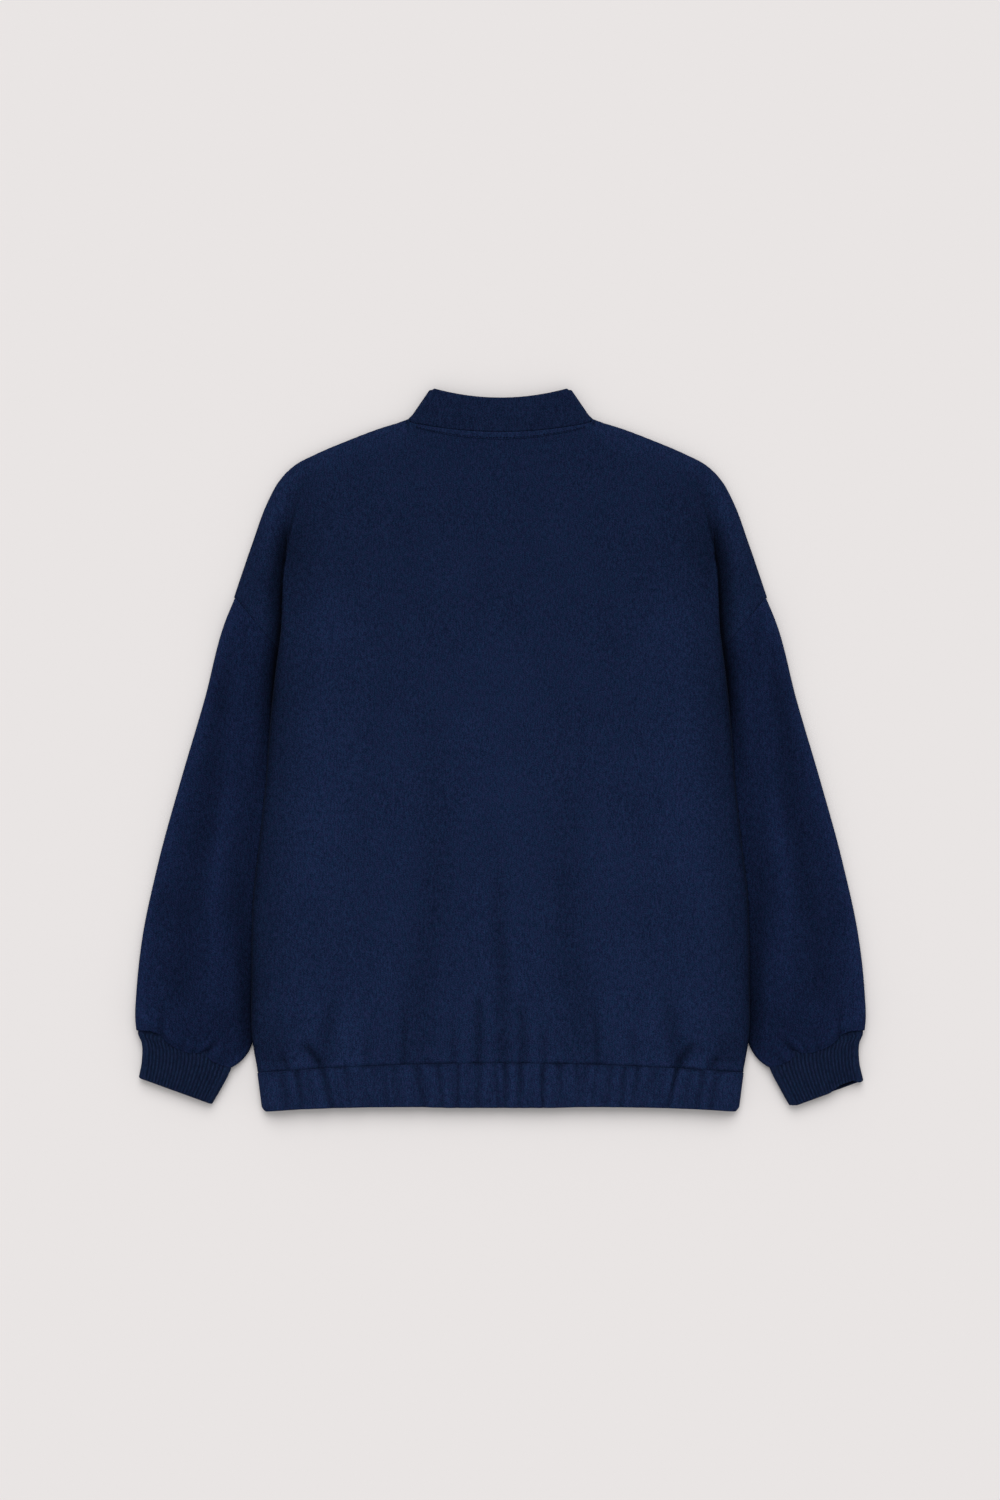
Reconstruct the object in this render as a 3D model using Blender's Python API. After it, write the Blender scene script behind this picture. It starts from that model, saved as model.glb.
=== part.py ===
"""Bomber jacket laid flat on its front, so that the back panel is up.

Metres, +Z up. +Y points to the collar and +X to the wearer's right. The jacket rests on z = 0.
Every piece of cloth is a wall of even thickness round a middle surface, and pieces that a seam
joins stand 0.3 mm apart. Half tables hold the +X side, and the -X side is their mirror image.
"""
import bmesh
import bpy
import numpy as np

# Cloth and seams
CLOTH = 0.0022          # thickness of the wool cloth
KNIT = 0.0026           # thickness of the rib knit
DOUBLE = 0.0030         # two layers of cloth sewn together, as in the collar
CASING = 0.0036         # two layers of cloth with elastic between them
SEAM_GAP = 0.0003       # between pieces that a seam joins
HALF_GAP = SEAM_GAP / 2

# Heights of the middle surfaces above the floor
FLOOR_LAYER = CLOTH / 2  # fronts and undersides of the sleeves
TUCKED = 0.0046          # upper layer of a sleeve where the body lies on it
WRAPPED = 0.0074         # back panel where it turns under and lies on the sleeve
UNDER_FOLD = 0.0081      # back panel just under the edge of its side fold
FOLD_EDGE = 0.0096       # outermost line of the body's side fold
TURN = 0.0060            # innermost line where the back panel turns back out
BACK_HEIGHT = 0.0090     # back panel over the fronts
SIDE_RISE = 0.0044       # how much higher it lies over the sleeves
HEM_RISE = 0.0020        # how much higher it lies at the waistband
SHOULDER_EDGE = 0.0025   # lower edge of the back panel along the shoulder
SIDE_SEAM = 0.0036       # hidden end of the back panel over the front's side
SIDE_BEND = 0.0050       # back panel where it rises from that end over the sleeve
HEM_UNDER = (0.0038, 0.0050, 0.0064)  # out to the fold's edge, where the fold meets the waistband
SLEEVE_CREST = 0.0130    # upper layer of a sleeve where nothing lies on it
SLEEVE_SWELL = 0.0020    # how much lower that is at the armhole, and higher over the forearm
SLEEVE_END = 0.0108      # upper layer of a sleeve at the cuff's seam
CUFF_TOP = 0.0086        # upper layer of a cuff
CASING_TOP = 0.0102      # upper layer of the waistband

# Plan sizes
NECK_HALF = 0.0888       # half the width of the flat neck
BACK_NECK_Y = 0.3050     # neck seam at centre back
BACK_NECK_DIP = 0.0110   # how much higher the seam is at the sides of the neck
FRONT_NECK_Y = 0.2320    # neck seam at centre front
UNDERARM = (0.142, 0.010)
SHOULDER_TIP = (0.2550, 0.1460)
HEM_SEAM_Y = -0.2990     # waistband seam at centre back
HEM_SEAM_DROP = 0.0087   # how much lower the seam is at the side folds
HEM_Y = -0.3434          # lower edge of the waistband at centre back
HEM_DROP = 0.0046
HEM_HALF = 0.225         # half width at which the two drops are measured
EDGE_ROUND = 0.010       # how far in the shoulder's rounded edge reaches
ROLL = 0.024             # how far in the body's side roll reaches
FOLD_DIP = (0.001, 0.040)  # where the sleeve starts to rise beside the fold, and where it is up
HEM_ENTRY = (0.272, 0.300)  # distances below y = 0 between which the fold comes down to the hem

# Shoulder and overarm fold, from the neck to the cuff: x, y
SHOULDER_LINE = ((0.0900, 0.3160), (0.1166, 0.3086), (0.1474, 0.2971), (0.1752, 0.2856),
                 (0.1968, 0.2741), (0.2088, 0.2626), (0.2222, 0.2395), (0.2366, 0.2011),
                 (0.2496, 0.1627), SHOULDER_TIP)
OVERARM_LINE = (SHOULDER_TIP, (0.2640, 0.1243), (0.2846, 0.0475), (0.3072, -0.0293),
                (0.3283, -0.1061), (0.3446, -0.1829), (0.3497, -0.2300), (0.3509, -0.2597),
                (0.3500, -0.2700))
UNDERARM_LINE = (UNDERARM, (0.1750, -0.0890), (0.2075, -0.1860), (0.2400, -0.2830),
                 (0.2500, -0.2960), (0.2580, -0.3050))
# Side fold of the body: x, y
BODY_FOLD = ((0.184, 0.281), (0.190, 0.249), (0.200, 0.215), (0.207, 0.182), (0.211, 0.113),
             (0.217, 0.067), (0.222, 0.016), (0.225, -0.026), (0.2315, -0.089), (0.237, -0.135),
             (0.239, -0.217), (0.2376, -0.285), (0.2335, -0.308))
# Hidden line where the back panel turns back out, above the underarm: x, y
TURN_LINE = ((0.208, 0.263), (0.206, 0.225), (0.199, 0.180), (0.186, 0.130), (0.166, 0.075),
             (0.136, 0.010))

# Soft vertical valleys of the back panel above the waistband:
# x, y of the upper end, half width, depth, lean (x moved per metre upwards)
BACK_VALLEYS = (
    (-0.0610, -0.120, 0.013, 0.0022, 0.02), (0.0060, -0.130, 0.008, 0.0030, -0.02),
    (0.0735, -0.120, 0.013, 0.0022, -0.06), (-0.0225, -0.235, 0.007, 0.0018, 0.00),
    (0.0226, -0.235, 0.007, 0.0020, 0.03), (-0.1720, -0.215, 0.011, 0.0022, -0.15),
    (0.1720, -0.215, 0.011, 0.0022, 0.15), (-0.2050, -0.270, 0.007, 0.0014, -0.40),
    (0.2050, -0.270, 0.007, 0.0014, 0.40))
# Gathers of the waistband: x at the seam, x at the hem, depth
BAND_GATHERS = (
    (-0.196, -0.194, 0.0012), (-0.171, -0.160, 0.0020), (-0.150, -0.145, 0.0008),
    (-0.131, -0.128, 0.0012), (-0.106, -0.102, 0.0008), (-0.080, -0.075, 0.0016),
    (-0.058, -0.054, 0.0012), (-0.042, -0.041, 0.0018), (-0.022, -0.020, 0.0016),
    (-0.004, -0.003, 0.0016), (0.005, 0.005, 0.0018), (0.018, 0.021, 0.0016),
    (0.040, 0.042, 0.0018), (0.071, 0.077, 0.0016), (0.094, 0.091, 0.0010),
    (0.111, 0.108, 0.0008), (0.128, 0.125, 0.0012), (0.150, 0.146, 0.0008),
    (0.171, 0.160, 0.0020), (0.193, 0.190, 0.0012))
GATHER_HALF_WIDTH = 0.0055

# Cuffs: corners of the flat cuff on the +X side
CUFF_TOP_OUTER = (0.3455, -0.2830)
CUFF_TOP_INNER = (0.2600, -0.3110)
CUFF_BOTTOM_OUTER = (0.3470, -0.3155)
CUFF_BOTTOM_INNER = (0.2780, -0.3405)
RIBS = 44                # round one cuff
RIB_HEIGHT = 0.0005
CUFF_INSET = 0.0012      # how much narrower than the sleeve the cuff starts, at each side

# Colours from the cloth, as linear values
NAVY = (0.0093, 0.0144, 0.0420)
SLEEVE_NAVY = (0.0065, 0.0110, 0.0340)
CUFF_NAVY = (0.0070, 0.0116, 0.0319)


def smooth(value, low=0.0, high=1.0):
    """Ease from 0 to 1 as the value goes from low to high."""
    t = np.clip((np.asarray(value, float) - low) / (high - low), 0.0, 1.0)
    return t * t * (3 - 2 * t)


def mix(a, b, t):
    """Go straight from a to b as t goes from 0 to 1."""
    return a + (b - a) * t


def curve(points, count=200):
    """Dense smooth line through the given plan points, evenly spaced by length."""
    points = np.asarray(points, float)
    length = np.r_[0, np.cumsum(np.linalg.norm(np.diff(points, axis=0), axis=1))]
    slope = np.gradient(points, length, axis=0)
    at = np.linspace(0, length[-1], count)
    i = np.clip(np.searchsorted(length, at, side="right") - 1, 0, len(points) - 2)
    span = (length[i + 1] - length[i])[:, None]
    t = (at - length[i])[:, None] / span
    return ((2 * t**3 - 3 * t**2 + 1) * points[i] + (t**3 - 2 * t**2 + t) * span * slope[i]
            + (3 * t**2 - 2 * t**3) * points[i + 1] + (t**3 - t**2) * span * slope[i + 1])


SHOULDER = curve(SHOULDER_LINE)
OVERARM = curve(OVERARM_LINE)
UNDERARM_SEAM = curve(UNDERARM_LINE)
FOLD = curve(BODY_FOLD)
TURNING = curve(TURN_LINE)
OUTLINE = np.vstack([SHOULDER, OVERARM[1:]])


def x_at(line, y):
    """x where a line that runs down the picture crosses the height y."""
    return np.interp(y, line[::-1, 1], line[::-1, 0])


def along(line, fraction):
    """Point of a dense line at a fraction of its length."""
    at = np.asarray(fraction, float) * (len(line) - 1)
    return np.stack([np.interp(at, np.arange(len(line)), line[:, k]) for k in (0, 1)], axis=-1)


def edge_distance(x, y):
    """Distance from a plan point to the shoulder and overarm outline."""
    point = np.array([abs(x), y])
    return float(np.min(np.linalg.norm(OUTLINE - point, axis=1)))


def back_neck_y(x):
    """Neck seam of the back panel."""
    return BACK_NECK_Y + BACK_NECK_DIP * (x / NECK_HALF) ** 2


def hem_seam_y(x):
    """Waistband seam."""
    return HEM_SEAM_Y - HEM_SEAM_DROP * np.minimum(abs(x) / HEM_HALF, 1.1) ** 2


def hem_y(x):
    """Lower edge of the waistband."""
    return HEM_Y - HEM_DROP * np.minimum(abs(x) / HEM_HALF, 1.1) ** 2


def rounded(height, low, distance, reach):
    """Height of a layer that comes down to low in a quarter round at its edge."""
    inward = np.clip(1 - distance / reach, 0, 1)
    return low + (height - low) * np.sqrt(1 - inward**2)


def sleeve_height(x, y):
    """Middle of a sleeve's upper layer, and of the back panel beside the body's fold."""
    beyond = abs(x) - x_at(FOLD, y)
    crest = SLEEVE_CREST + SLEEVE_SWELL * (smooth(-y, 0.15, 0.25) - smooth(y, 0.0, 0.2))
    crest = mix(crest, SLEEVE_END, smooth(-y - 0.30 * (abs(x) - 0.35), 0.262, 0.300))
    valley = mix(TUCKED, crest, smooth(beyond, *FOLD_DIP))
    return mix(BACK_HEIGHT, valley, smooth(-y, -0.255, -0.195))


def back_height(x, y):
    """Middle of the back panel where it is the top layer of the body."""
    inside = x_at(FOLD, y) - abs(x)
    over_sleeve = smooth(-y, -0.20, -0.10) * (1 - smooth(-y, 0.24, 0.30))
    height = BACK_HEIGHT + SIDE_RISE * over_sleeve * (1 - smooth(inside, 0.035, 0.110))
    height += HEM_RISE * smooth(-y, 0.16, 0.28)
    for valley_x, top_y, half, depth, lean in BACK_VALLEYS:
        offset = (x - valley_x - lean * (y - HEM_SEAM_Y)) / half
        height += (0.4 - np.exp(-offset**2)) * depth * smooth(top_y - y, -0.01, 0.07) * (abs(offset) < 4)
    return float(height)


def material(name, colour, roughness=0.9):
    """Plain cloth of one colour."""
    made = bpy.data.materials.new(name)
    made.use_nodes = True
    shader = made.node_tree.nodes["Principled BSDF"]
    shader.inputs["Base Color"].default_value = (*colour, 1.0)
    shader.inputs["Roughness"].default_value = roughness
    return made


def point_normals(points, quads):
    """Unit normals of the points, each the mean of the faces that meet there."""
    normals = np.zeros_like(points)
    for quad in quads:
        a, b, c, d = (points[k] for k in quad)
        face = np.cross(c - a, d - b)
        for k in quad:
            normals[k] += face
    return normals / np.maximum(np.linalg.norm(normals, axis=1), 1e-12)[:, None]


def sheet(name, points, quads, thickness, colour, square=(), lift=None):
    """Closed wall round a middle surface, with an even thickness.

    square lists (point numbers, direction): there the wall's end face is made upright across
    that direction, as where a seam meets it. lift raises the outer points over a plain inside.
    """
    points = np.asarray(points, float)
    normals = point_normals(points, quads)
    for numbers, direction in square:
        direction = np.asarray(direction, float)
        direction = direction / np.linalg.norm(direction, axis=-1, keepdims=True)
        share = np.sum(normals[numbers] * direction, axis=1, keepdims=True)
        normals[numbers] -= share * direction
        normals[numbers] /= np.maximum(np.linalg.norm(normals[numbers], axis=1), 1e-12)[:, None]
    raised = np.zeros(len(points)) if lift is None else np.asarray(lift, float)
    outer = points + normals * (thickness / 2 + raised)[:, None]
    inner = points - normals * thickness / 2
    count = len(points)
    faces = [tuple(quad) for quad in quads]
    faces += [tuple(k + count for k in reversed(quad)) for quad in quads]
    sides = {}
    for quad in quads:
        for a, b in zip(quad, quad[1:] + quad[:1]):
            sides[(a, b)] = True
    for a, b in sides:
        if (b, a) not in sides:
            faces.append((b, a, a + count, b + count))
    vertices = np.vstack([outer, inner])
    used = sorted({k for face in faces for k in face})
    number = {k: i for i, k in enumerate(used)}
    mesh = bpy.data.meshes.new(name)
    mesh.from_pydata(vertices[used].tolist(), [], [[number[k] for k in face] for face in faces])
    mesh.shade_smooth()
    mesh.materials.append(material(name, colour))
    made = bpy.data.objects.new(name, mesh)
    bpy.context.collection.objects.link(made)
    return made


def grid_quads(rows, columns, closed=False, keep=None):
    """Quads of a grid of points, facing out when columns run along and rows run down."""
    quads = []
    for r in range(rows - 1):
        for c in range(columns if closed else columns - 1):
            if keep is None or keep(r, c):
                n = (c + 1) % columns
                upper, lower = r * columns, (r + 1) * columns
                quads.append([upper + c, lower + c, lower + n, upper + n])
    return quads


def mirrored(points, quads):
    """The same surface on the -X side."""
    return points * np.array([-1, 1, 1]), [list(reversed(quad)) for quad in quads]


# Back panel ---------------------------------------------------------------------------------

ABOVE_UNDERARM = (0.0, 0.010, 0.035, 0.075, 0.13, 0.20, 0.28, 0.37, 0.47, 0.58, 0.70, 0.82, 0.92, 1.0)
BELOW_UNDERARM = (0.07, 0.17, 0.27, 0.37, 0.47, 0.57, 0.66, 0.74, 0.81, 0.87, 0.92, 0.96, 1.0)
OUTER_STEPS = 5          # columns from the outline to the turn
WRAP_STEPS = 7           # columns from the turn to the fold
TURN_REACH = (0.0015, 0.0070)  # how far out the turn's bend and its end reach, above the underarm
SEAM_REACH = (0.0070, 0.0150)  # how far out the panel's hidden side bends, below the underarm
FOLD_INSET = 0.0015      # how far in the lower bend of the side fold lies
ROLL_SHARES = (1 / 3, 2 / 3, 1.0)  # columns from the fold to the top of the roll
CENTRE_STEPS = 14        # columns from the side roll to centre back


def top_edge_y(x):
    """Neck seam or shoulder line of the back panel."""
    shoulder = np.interp(abs(x), SHOULDER[:, 0], SHOULDER[:, 1])
    return back_neck_y(x) - HALF_GAP if abs(x) < SHOULDER_LINE[0][0] else float(shoulder)


def nearest_on_shoulder(x, y):
    """Number of the shoulder line's point that is nearest to a plan point."""
    return int(np.argmin(np.linalg.norm(SHOULDER - np.array([abs(x), y]), axis=1)))


TURN_SHARE = nearest_on_shoulder(*TURN_LINE[0]) / (len(SHOULDER) - 1)


def half_row(p, q):
    """Middle points of one row on the +X side, from the outer edge to centre back.

    p goes from 0 on the shoulder to 1 at the underarm, and q from 0 there to 1 at the waistband.
    """
    def row_y(top_y, x):
        return mix(mix(top_y, UNDERARM[1], p), hem_seam_y(x) + HALF_GAP, q)

    folded = smooth(p, 0.14, 0.42)
    turned = smooth(p, 0.03, 0.30)
    turn_top, fold_top = np.array(TURN_LINE[0]), np.array(BODY_FOLD[0])
    fold_y = row_y(fold_top[1], HEM_HALF)
    fold_x = float(x_at(FOLD, fold_y)) - CLOTH / 2
    inner_x = min(float(x_at(UNDERARM_SEAM, fold_y)), fold_x - 0.008)
    turn_y = mix(turn_top[1], UNDERARM[1], p)
    turn_x = float(x_at(TURNING, turn_y)) if q == 0 else inner_x - SEAM_REACH[1]
    low = smooth(-fold_y, *HEM_ENTRY)
    edge_z = mix(FOLD_EDGE, HEM_UNDER[2], low)
    points = []
    # from the outline or the armhole seam to the turn
    armhole = mix(np.array(SHOULDER_TIP), np.array(UNDERARM), p)
    turn = np.array([turn_x + TURN_REACH[0] * folded, turn_y])
    for s in np.arange(OUTER_STEPS) / OUTER_STEPS:
        bow = along(SHOULDER, 1 - s * (1 - TURN_SHARE)) - mix(np.array(SHOULDER_TIP), turn_top, s)
        x, y = mix(armhole, turn, s) + bow * (1 - p) ** 2
        points.append([x, y, mix(BACK_HEIGHT, sleeve_height(x, y), smooth(p, 0.05, 0.25))])
    # round the turn and out to the fold
    reach = TURN_REACH if q == 0 else SEAM_REACH
    wrap_x = [turn_x, turn_x + reach[0], *np.linspace(turn_x + reach[1], fold_x - FOLD_INSET, 4), fold_x]
    first = (TURN, WRAPPED) if q == 0 else (SIDE_SEAM, SIDE_BEND)
    wrap_z = np.array([*first, WRAPPED, WRAPPED, WRAPPED, UNDER_FOLD, edge_z])
    if q > 0:
        wrap_z = mix(wrap_z, np.array([SIDE_SEAM] * 4 + [HEM_UNDER[0], HEM_UNDER[1], edge_z]), low)
    for s, x, z in zip(np.linspace(0, 1, WRAP_STEPS), wrap_x, wrap_z):
        x = mix(mix(turn_x, fold_x, s), x, folded)
        flat_z = mix(BACK_HEIGHT, mix(TURN, edge_z, s), turned)
        points.append([x, row_y(top_edge_y(mix(turn_top[0], fold_top[0], s)), x), mix(flat_z, z, folded)])
    # round the fold and in to centre back
    roll_x = fold_x - ROLL
    for s in ROLL_SHARES:
        angle = s * np.pi / 2
        x = fold_x - ROLL * mix(s, 1 - np.cos(angle), folded)
        y = row_y(top_edge_y(fold_top[0] - ROLL * s), x)
        top = back_height(roll_x, y)
        flat_z = mix(mix(BACK_HEIGHT, edge_z, turned), top, s)
        points.append([x, y, mix(flat_z, mix(edge_z, top, np.sin(angle)), folded)])
    for s in np.arange(1, CENTRE_STEPS + 1) / CENTRE_STEPS:
        x = roll_x * (1 - s)
        y = row_y(top_edge_y((fold_top[0] - ROLL) * (1 - s)), x)
        points.append([x, y, back_height(x, y)])
    return np.array(points)


def round_shoulder(half):
    """Bring one row of the back panel down along the shoulder's outline."""
    first_neck = OUTER_STEPS + WRAP_STEPS + len(ROLL_SHARES)
    for column, point in enumerate(half):
        if column >= first_neck and abs(point[0]) < SHOULDER_LINE[0][0]:
            continue
        distance = edge_distance(point[0], point[1])
        point[2] = rounded(point[2], SHOULDER_EDGE, distance, EDGE_ROUND)


def build_back():
    """One panel from the neck to the waistband, wrapped round both side folds."""
    rows = [(p, 0.0) for p in ABOVE_UNDERARM] + [(1.0, q) for q in BELOW_UNDERARM]
    halves = [half_row(p, q) for p, q in rows]
    above = len(ABOVE_UNDERARM)
    grid = []
    for r, half in enumerate(halves):
        if r < above:
            round_shoulder(half)
        other = half[:-1] * np.array([-1, 1, 1])
        for point, (x, y, z) in zip(other, half[:-1]):
            if abs(x) < BODY_FOLD[0][0] - ROLL:
                point[2] += back_height(-x, y) - back_height(x, y)
        grid.append(np.vstack([other, half[::-1]]))
    grid = np.array(grid)
    columns = grid.shape[1]
    # the shoulder's end face lies inside the outline by half the cloth
    shoulder = [c for c in range(columns) if abs(grid[0, c, 0]) >= SHOULDER_LINE[0][0] - 0.001]
    for c in shoulder:
        x, y = grid[0, c, :2]
        near = nearest_on_shoulder(x, y)
        tangent = SHOULDER[min(near + 1, len(SHOULDER) - 1)] - SHOULDER[max(near - 1, 0)]
        tangent = tangent / np.linalg.norm(tangent)
        grid[0, c, :2] += np.array([np.sign(x) * tangent[1], -tangent[0]]) * CLOTH / 2
    # the panel stands off the armhole seam by half the gap
    seam = np.array(SHOULDER_TIP) - np.array(UNDERARM)
    across = np.array([seam[1], -seam[0]]) / np.linalg.norm(seam)
    grid[1:above, 0, :2] -= np.array([-across[0], across[1]]) * HALF_GAP
    grid[1:above, -1, :2] -= across * HALF_GAP
    quads = grid_quads(len(rows), columns,
                       keep=lambda r, c: r < above - 1 or OUTER_STEPS <= c < columns - 1 - OUTER_STEPS)
    armhole = np.arange(above) * columns
    hem = (len(rows) - 1) * columns + np.arange(columns)
    neck = np.setdiff1d(np.arange(columns), shoulder)
    square = [(armhole, (-across[0], across[1], 0)), (armhole + columns - 1, (across[0], across[1], 0)),
              (hem, (0, 1, 0)), (neck, (0, 1, 0)), (np.array(shoulder), (0, 0, 1))]
    return sheet("back", grid.reshape(-1, 3), quads, CLOTH, NAVY, square)


# Front panels -------------------------------------------------------------------------------

NECK_ANGLES = (0, 14, 28, 42, 56, 70, 80, 90)  # round the front neck, in degrees
FRONT_OUTER = (0.46, 0.60, 0.74, 0.86, 0.94, 1.0)  # shares of the front's width outside the neck
FRONT_ABOVE = (0.0, 0.2, 0.4, 0.6, 0.8, 1.0)
FRONT_BELOW = (0.08, 0.3, 0.5, 0.7, 0.85, 1.0)
FRONT_INSET = 0.0012     # the front lies this much inside the shoulder's outline
FRONT_SIDE_GAP = 0.007   # between the front's side and the sleeve's underarm edge


def front_neck(angle, inset=0.0):
    """Point of the front neck seam, or of a line that lies inset within the neck."""
    a = np.radians(angle)
    centre_y = SHOULDER_LINE[0][1] - FRONT_INSET
    half, drop = SHOULDER_LINE[0][0] - inset, centre_y - FRONT_NECK_Y - inset
    return np.array([half * np.sin(a), centre_y - drop * np.cos(a)])


def front_top():
    """Upper edge of the right front: round the neck and along the shoulder."""
    points = [front_neck(angle) for angle in NECK_ANGLES]
    tip_x = SHOULDER_TIP[0] - FRONT_INSET
    for share in FRONT_OUTER:
        x = share * tip_x
        points.append(np.array([x, np.interp(x, SHOULDER[:, 0], SHOULDER[:, 1]) - FRONT_INSET]))
    return points


def build_front(name, side):
    """Front panel, flat on the floor, its neck cut lower than the back's."""
    seam = np.array(SHOULDER_TIP) - np.array(UNDERARM)
    inset = HALF_GAP * np.linalg.norm(seam) / seam[1]
    tip_x = SHOULDER_TIP[0] - FRONT_INSET
    rows = []
    for p in FRONT_ABOVE:
        rows.append((p, 0.0, mix(tip_x, UNDERARM[0], p) - inset))
    for q in FRONT_BELOW:
        y = mix(UNDERARM[1], hem_seam_y(HEM_HALF), q)
        fold_x = float(x_at(FOLD, y))
        inner_x = min(float(x_at(UNDERARM_SEAM, y)), fold_x - 0.009)
        rows.append((1.0, q, inner_x - FRONT_SIDE_GAP))
    points = []
    top = front_top()
    for p, q, edge in rows:
        for top_x, top_y in top:
            x = mix(HALF_GAP, edge, top_x / tip_x)
            y = mix(mix(top_y, UNDERARM[1], p), hem_seam_y(x) + HALF_GAP, q)
            points.append([x, y, FLOOR_LAYER])
    points = np.array(points)
    quads = grid_quads(len(rows), len(top))
    quads = [list(reversed(quad)) for quad in quads]
    if side < 0:
        points, quads = mirrored(points, quads)
    return sheet(name, points, quads, CLOTH, NAVY)


# Sleeves ------------------------------------------------------------------------------------

RING_SHARES = (0.0, 0.07, 0.16, 0.26, 0.36, 0.46, 0.56, 0.66, 0.75, 0.83, 0.895, 0.94, 0.97, 0.99, 1.0)
SLEEVE_TOP = (0.0, 0.10, 0.22, 0.34, 0.46, 0.57, 0.68, 0.79, 0.90, 1.0)
SLEEVE_BOTTOM = (0.0, 0.2, 0.4, 0.6, 0.8, 1.0)
OUTER_CAP = 0.010        # reach of the rounded overarm edge
INNER_CAP = 0.004        # reach of the rounded underarm edge
# Folds of the sleeve above the cuff: share across, half width, depth, reach up the sleeve
SLEEVE_FOLDS = ((0.25, 0.035, 0.0026, 0.045), (0.71, 0.035, 0.0030, 0.040), (0.48, 0.030, 0.0008, 0.030))
SLEEVE_LENGTH = 0.36     # rough length, for the reach of the folds


def sleeve_ring(share, last):
    """Middle points round one ring, with the ring's own plan direction."""
    outer = along(OVERARM, share)
    inner = along(UNDERARM_SEAM, share)
    across = inner - outer
    width = np.linalg.norm(across)
    across /= width
    down = np.array([-across[1], across[0]])
    down = down if down[1] < 0 else -down
    half = CLOTH / 2

    def top_z(w):
        x, y = outer + across * w
        height = float(sleeve_height(x, y))
        for at, spread, depth, reach in SLEEVE_FOLDS:
            near = (1 - share) * SLEEVE_LENGTH
            height -= depth * np.exp(-((w / width - at) / spread) ** 2) * (1 - smooth(near, 0.004, reach))
        return height

    ring = []
    low = FLOOR_LAYER
    start, stop = OUTER_CAP + half, width - INNER_CAP - half
    outer_top = top_z(start)
    inner_top = top_z(stop)
    for s in SLEEVE_BOTTOM:
        ring.append((mix(stop, start - 0.004, s), low))
    for angle in (-50, -10, 30, 62):
        a = np.radians(angle)
        ring.append((half + OUTER_CAP * (1 - np.cos(a)), mix(low, outer_top, (1 + np.sin(a)) / 2)))
    for s in SLEEVE_TOP:
        w = mix(start, stop, s)
        ring.append((w, top_z(w)))
    for angle in (50, 0, -50):
        a = np.radians(angle)
        ring.append((width - half - INNER_CAP * (1 - np.cos(a)), mix(low, inner_top, (1 + np.sin(a)) / 2)))
    ring = np.array(ring)
    shift = -HALF_GAP if last else (HALF_GAP if share == 0 else 0.0)
    plan = outer + across * ring[:, :1] + down * shift
    return np.column_stack([plan, ring[:, 1]]), np.array([down[0], down[1], 0.0])


def build_sleeve(name, side):
    """Tube from the armhole seam to the cuff, its inner side tucked under the body."""
    rings = [sleeve_ring(share, share == RING_SHARES[-1]) for share in RING_SHARES]
    points = np.vstack([ring for ring, down in rings])
    count = len(rings[0][0])
    quads = [list(reversed(quad)) for quad in grid_quads(len(rings), count, closed=True)]
    first = np.arange(count)
    last = first + count * (len(rings) - 1)
    square = [(first, rings[0][1]), (last, rings[-1][1])]
    if side < 0:
        points, quads = mirrored(points, quads)
        square = [(numbers, direction * np.array([-1, 1, 1])) for numbers, direction in square]
    return sheet(name, points, quads, CLOTH, SLEEVE_NAVY, square)


# Cuffs --------------------------------------------------------------------------------------

def build_cuff(name, side):
    """Rib-knit tube laid flat, its ribs raised in the outer points."""
    seam_outer, seam_inner = along(OVERARM, 1.0), along(UNDERARM_SEAM, 1.0)
    seam_across = (seam_inner - seam_outer) / np.linalg.norm(seam_inner - seam_outer)
    seam_down = np.array([seam_across[1], -seam_across[0]])
    seam_down = seam_down if seam_down[1] < 0 else -seam_down
    stations = ((seam_outer + seam_across * CUFF_INSET + seam_down * HALF_GAP,
                 seam_inner - seam_across * CUFF_INSET + seam_down * HALF_GAP),
                (np.array(CUFF_TOP_OUTER), np.array(CUFF_TOP_INNER)),
                (np.array(CUFF_BOTTOM_OUTER), np.array(CUFF_BOTTOM_INNER)))
    low, top = KNIT / 2, CUFF_TOP
    radius, mid_z = (top - low) / 2, (low + top) / 2
    points, lift = [], []
    for outer, inner in stations:
        across = inner - outer
        width = np.linalg.norm(across)
        across = across / width
        flat = width - KNIT - 2 * radius
        turn = flat + np.pi * radius
        for k in range(2 * RIBS):
            at = (k + 0.5) / (2 * RIBS) * 2 * turn
            if at < flat:
                w, z = width - KNIT / 2 - radius - at, low
            elif at < turn:
                a = -np.pi / 2 + (at - flat) / radius
                w, z = KNIT / 2 + radius - radius * np.cos(a), mid_z + radius * np.sin(a)
            elif at < turn + flat:
                w, z = KNIT / 2 + radius + (at - turn), top
            else:
                a = np.pi / 2 - (at - turn - flat) / radius
                w, z = width - KNIT / 2 - radius + radius * np.cos(a), mid_z + radius * np.sin(a)
            points.append([*(outer + across * w), z])
            lift.append(RIB_HEIGHT if k % 2 == 0 and z > mid_z else 0.0)
    points = np.array(points)
    count = 2 * RIBS
    quads = [list(reversed(quad)) for quad in grid_quads(len(stations), count, closed=True)]
    square = [(np.arange(count), np.array([seam_down[0], seam_down[1], 0.0]))]
    if side < 0:
        points, quads = mirrored(points, quads)
        square = [(square[0][0], square[0][1] * np.array([-1, 1, 1]))]
    return sheet(name, points, quads, KNIT, CUFF_NAVY, square, lift)


# Waistband ----------------------------------------------------------------------------------

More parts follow.
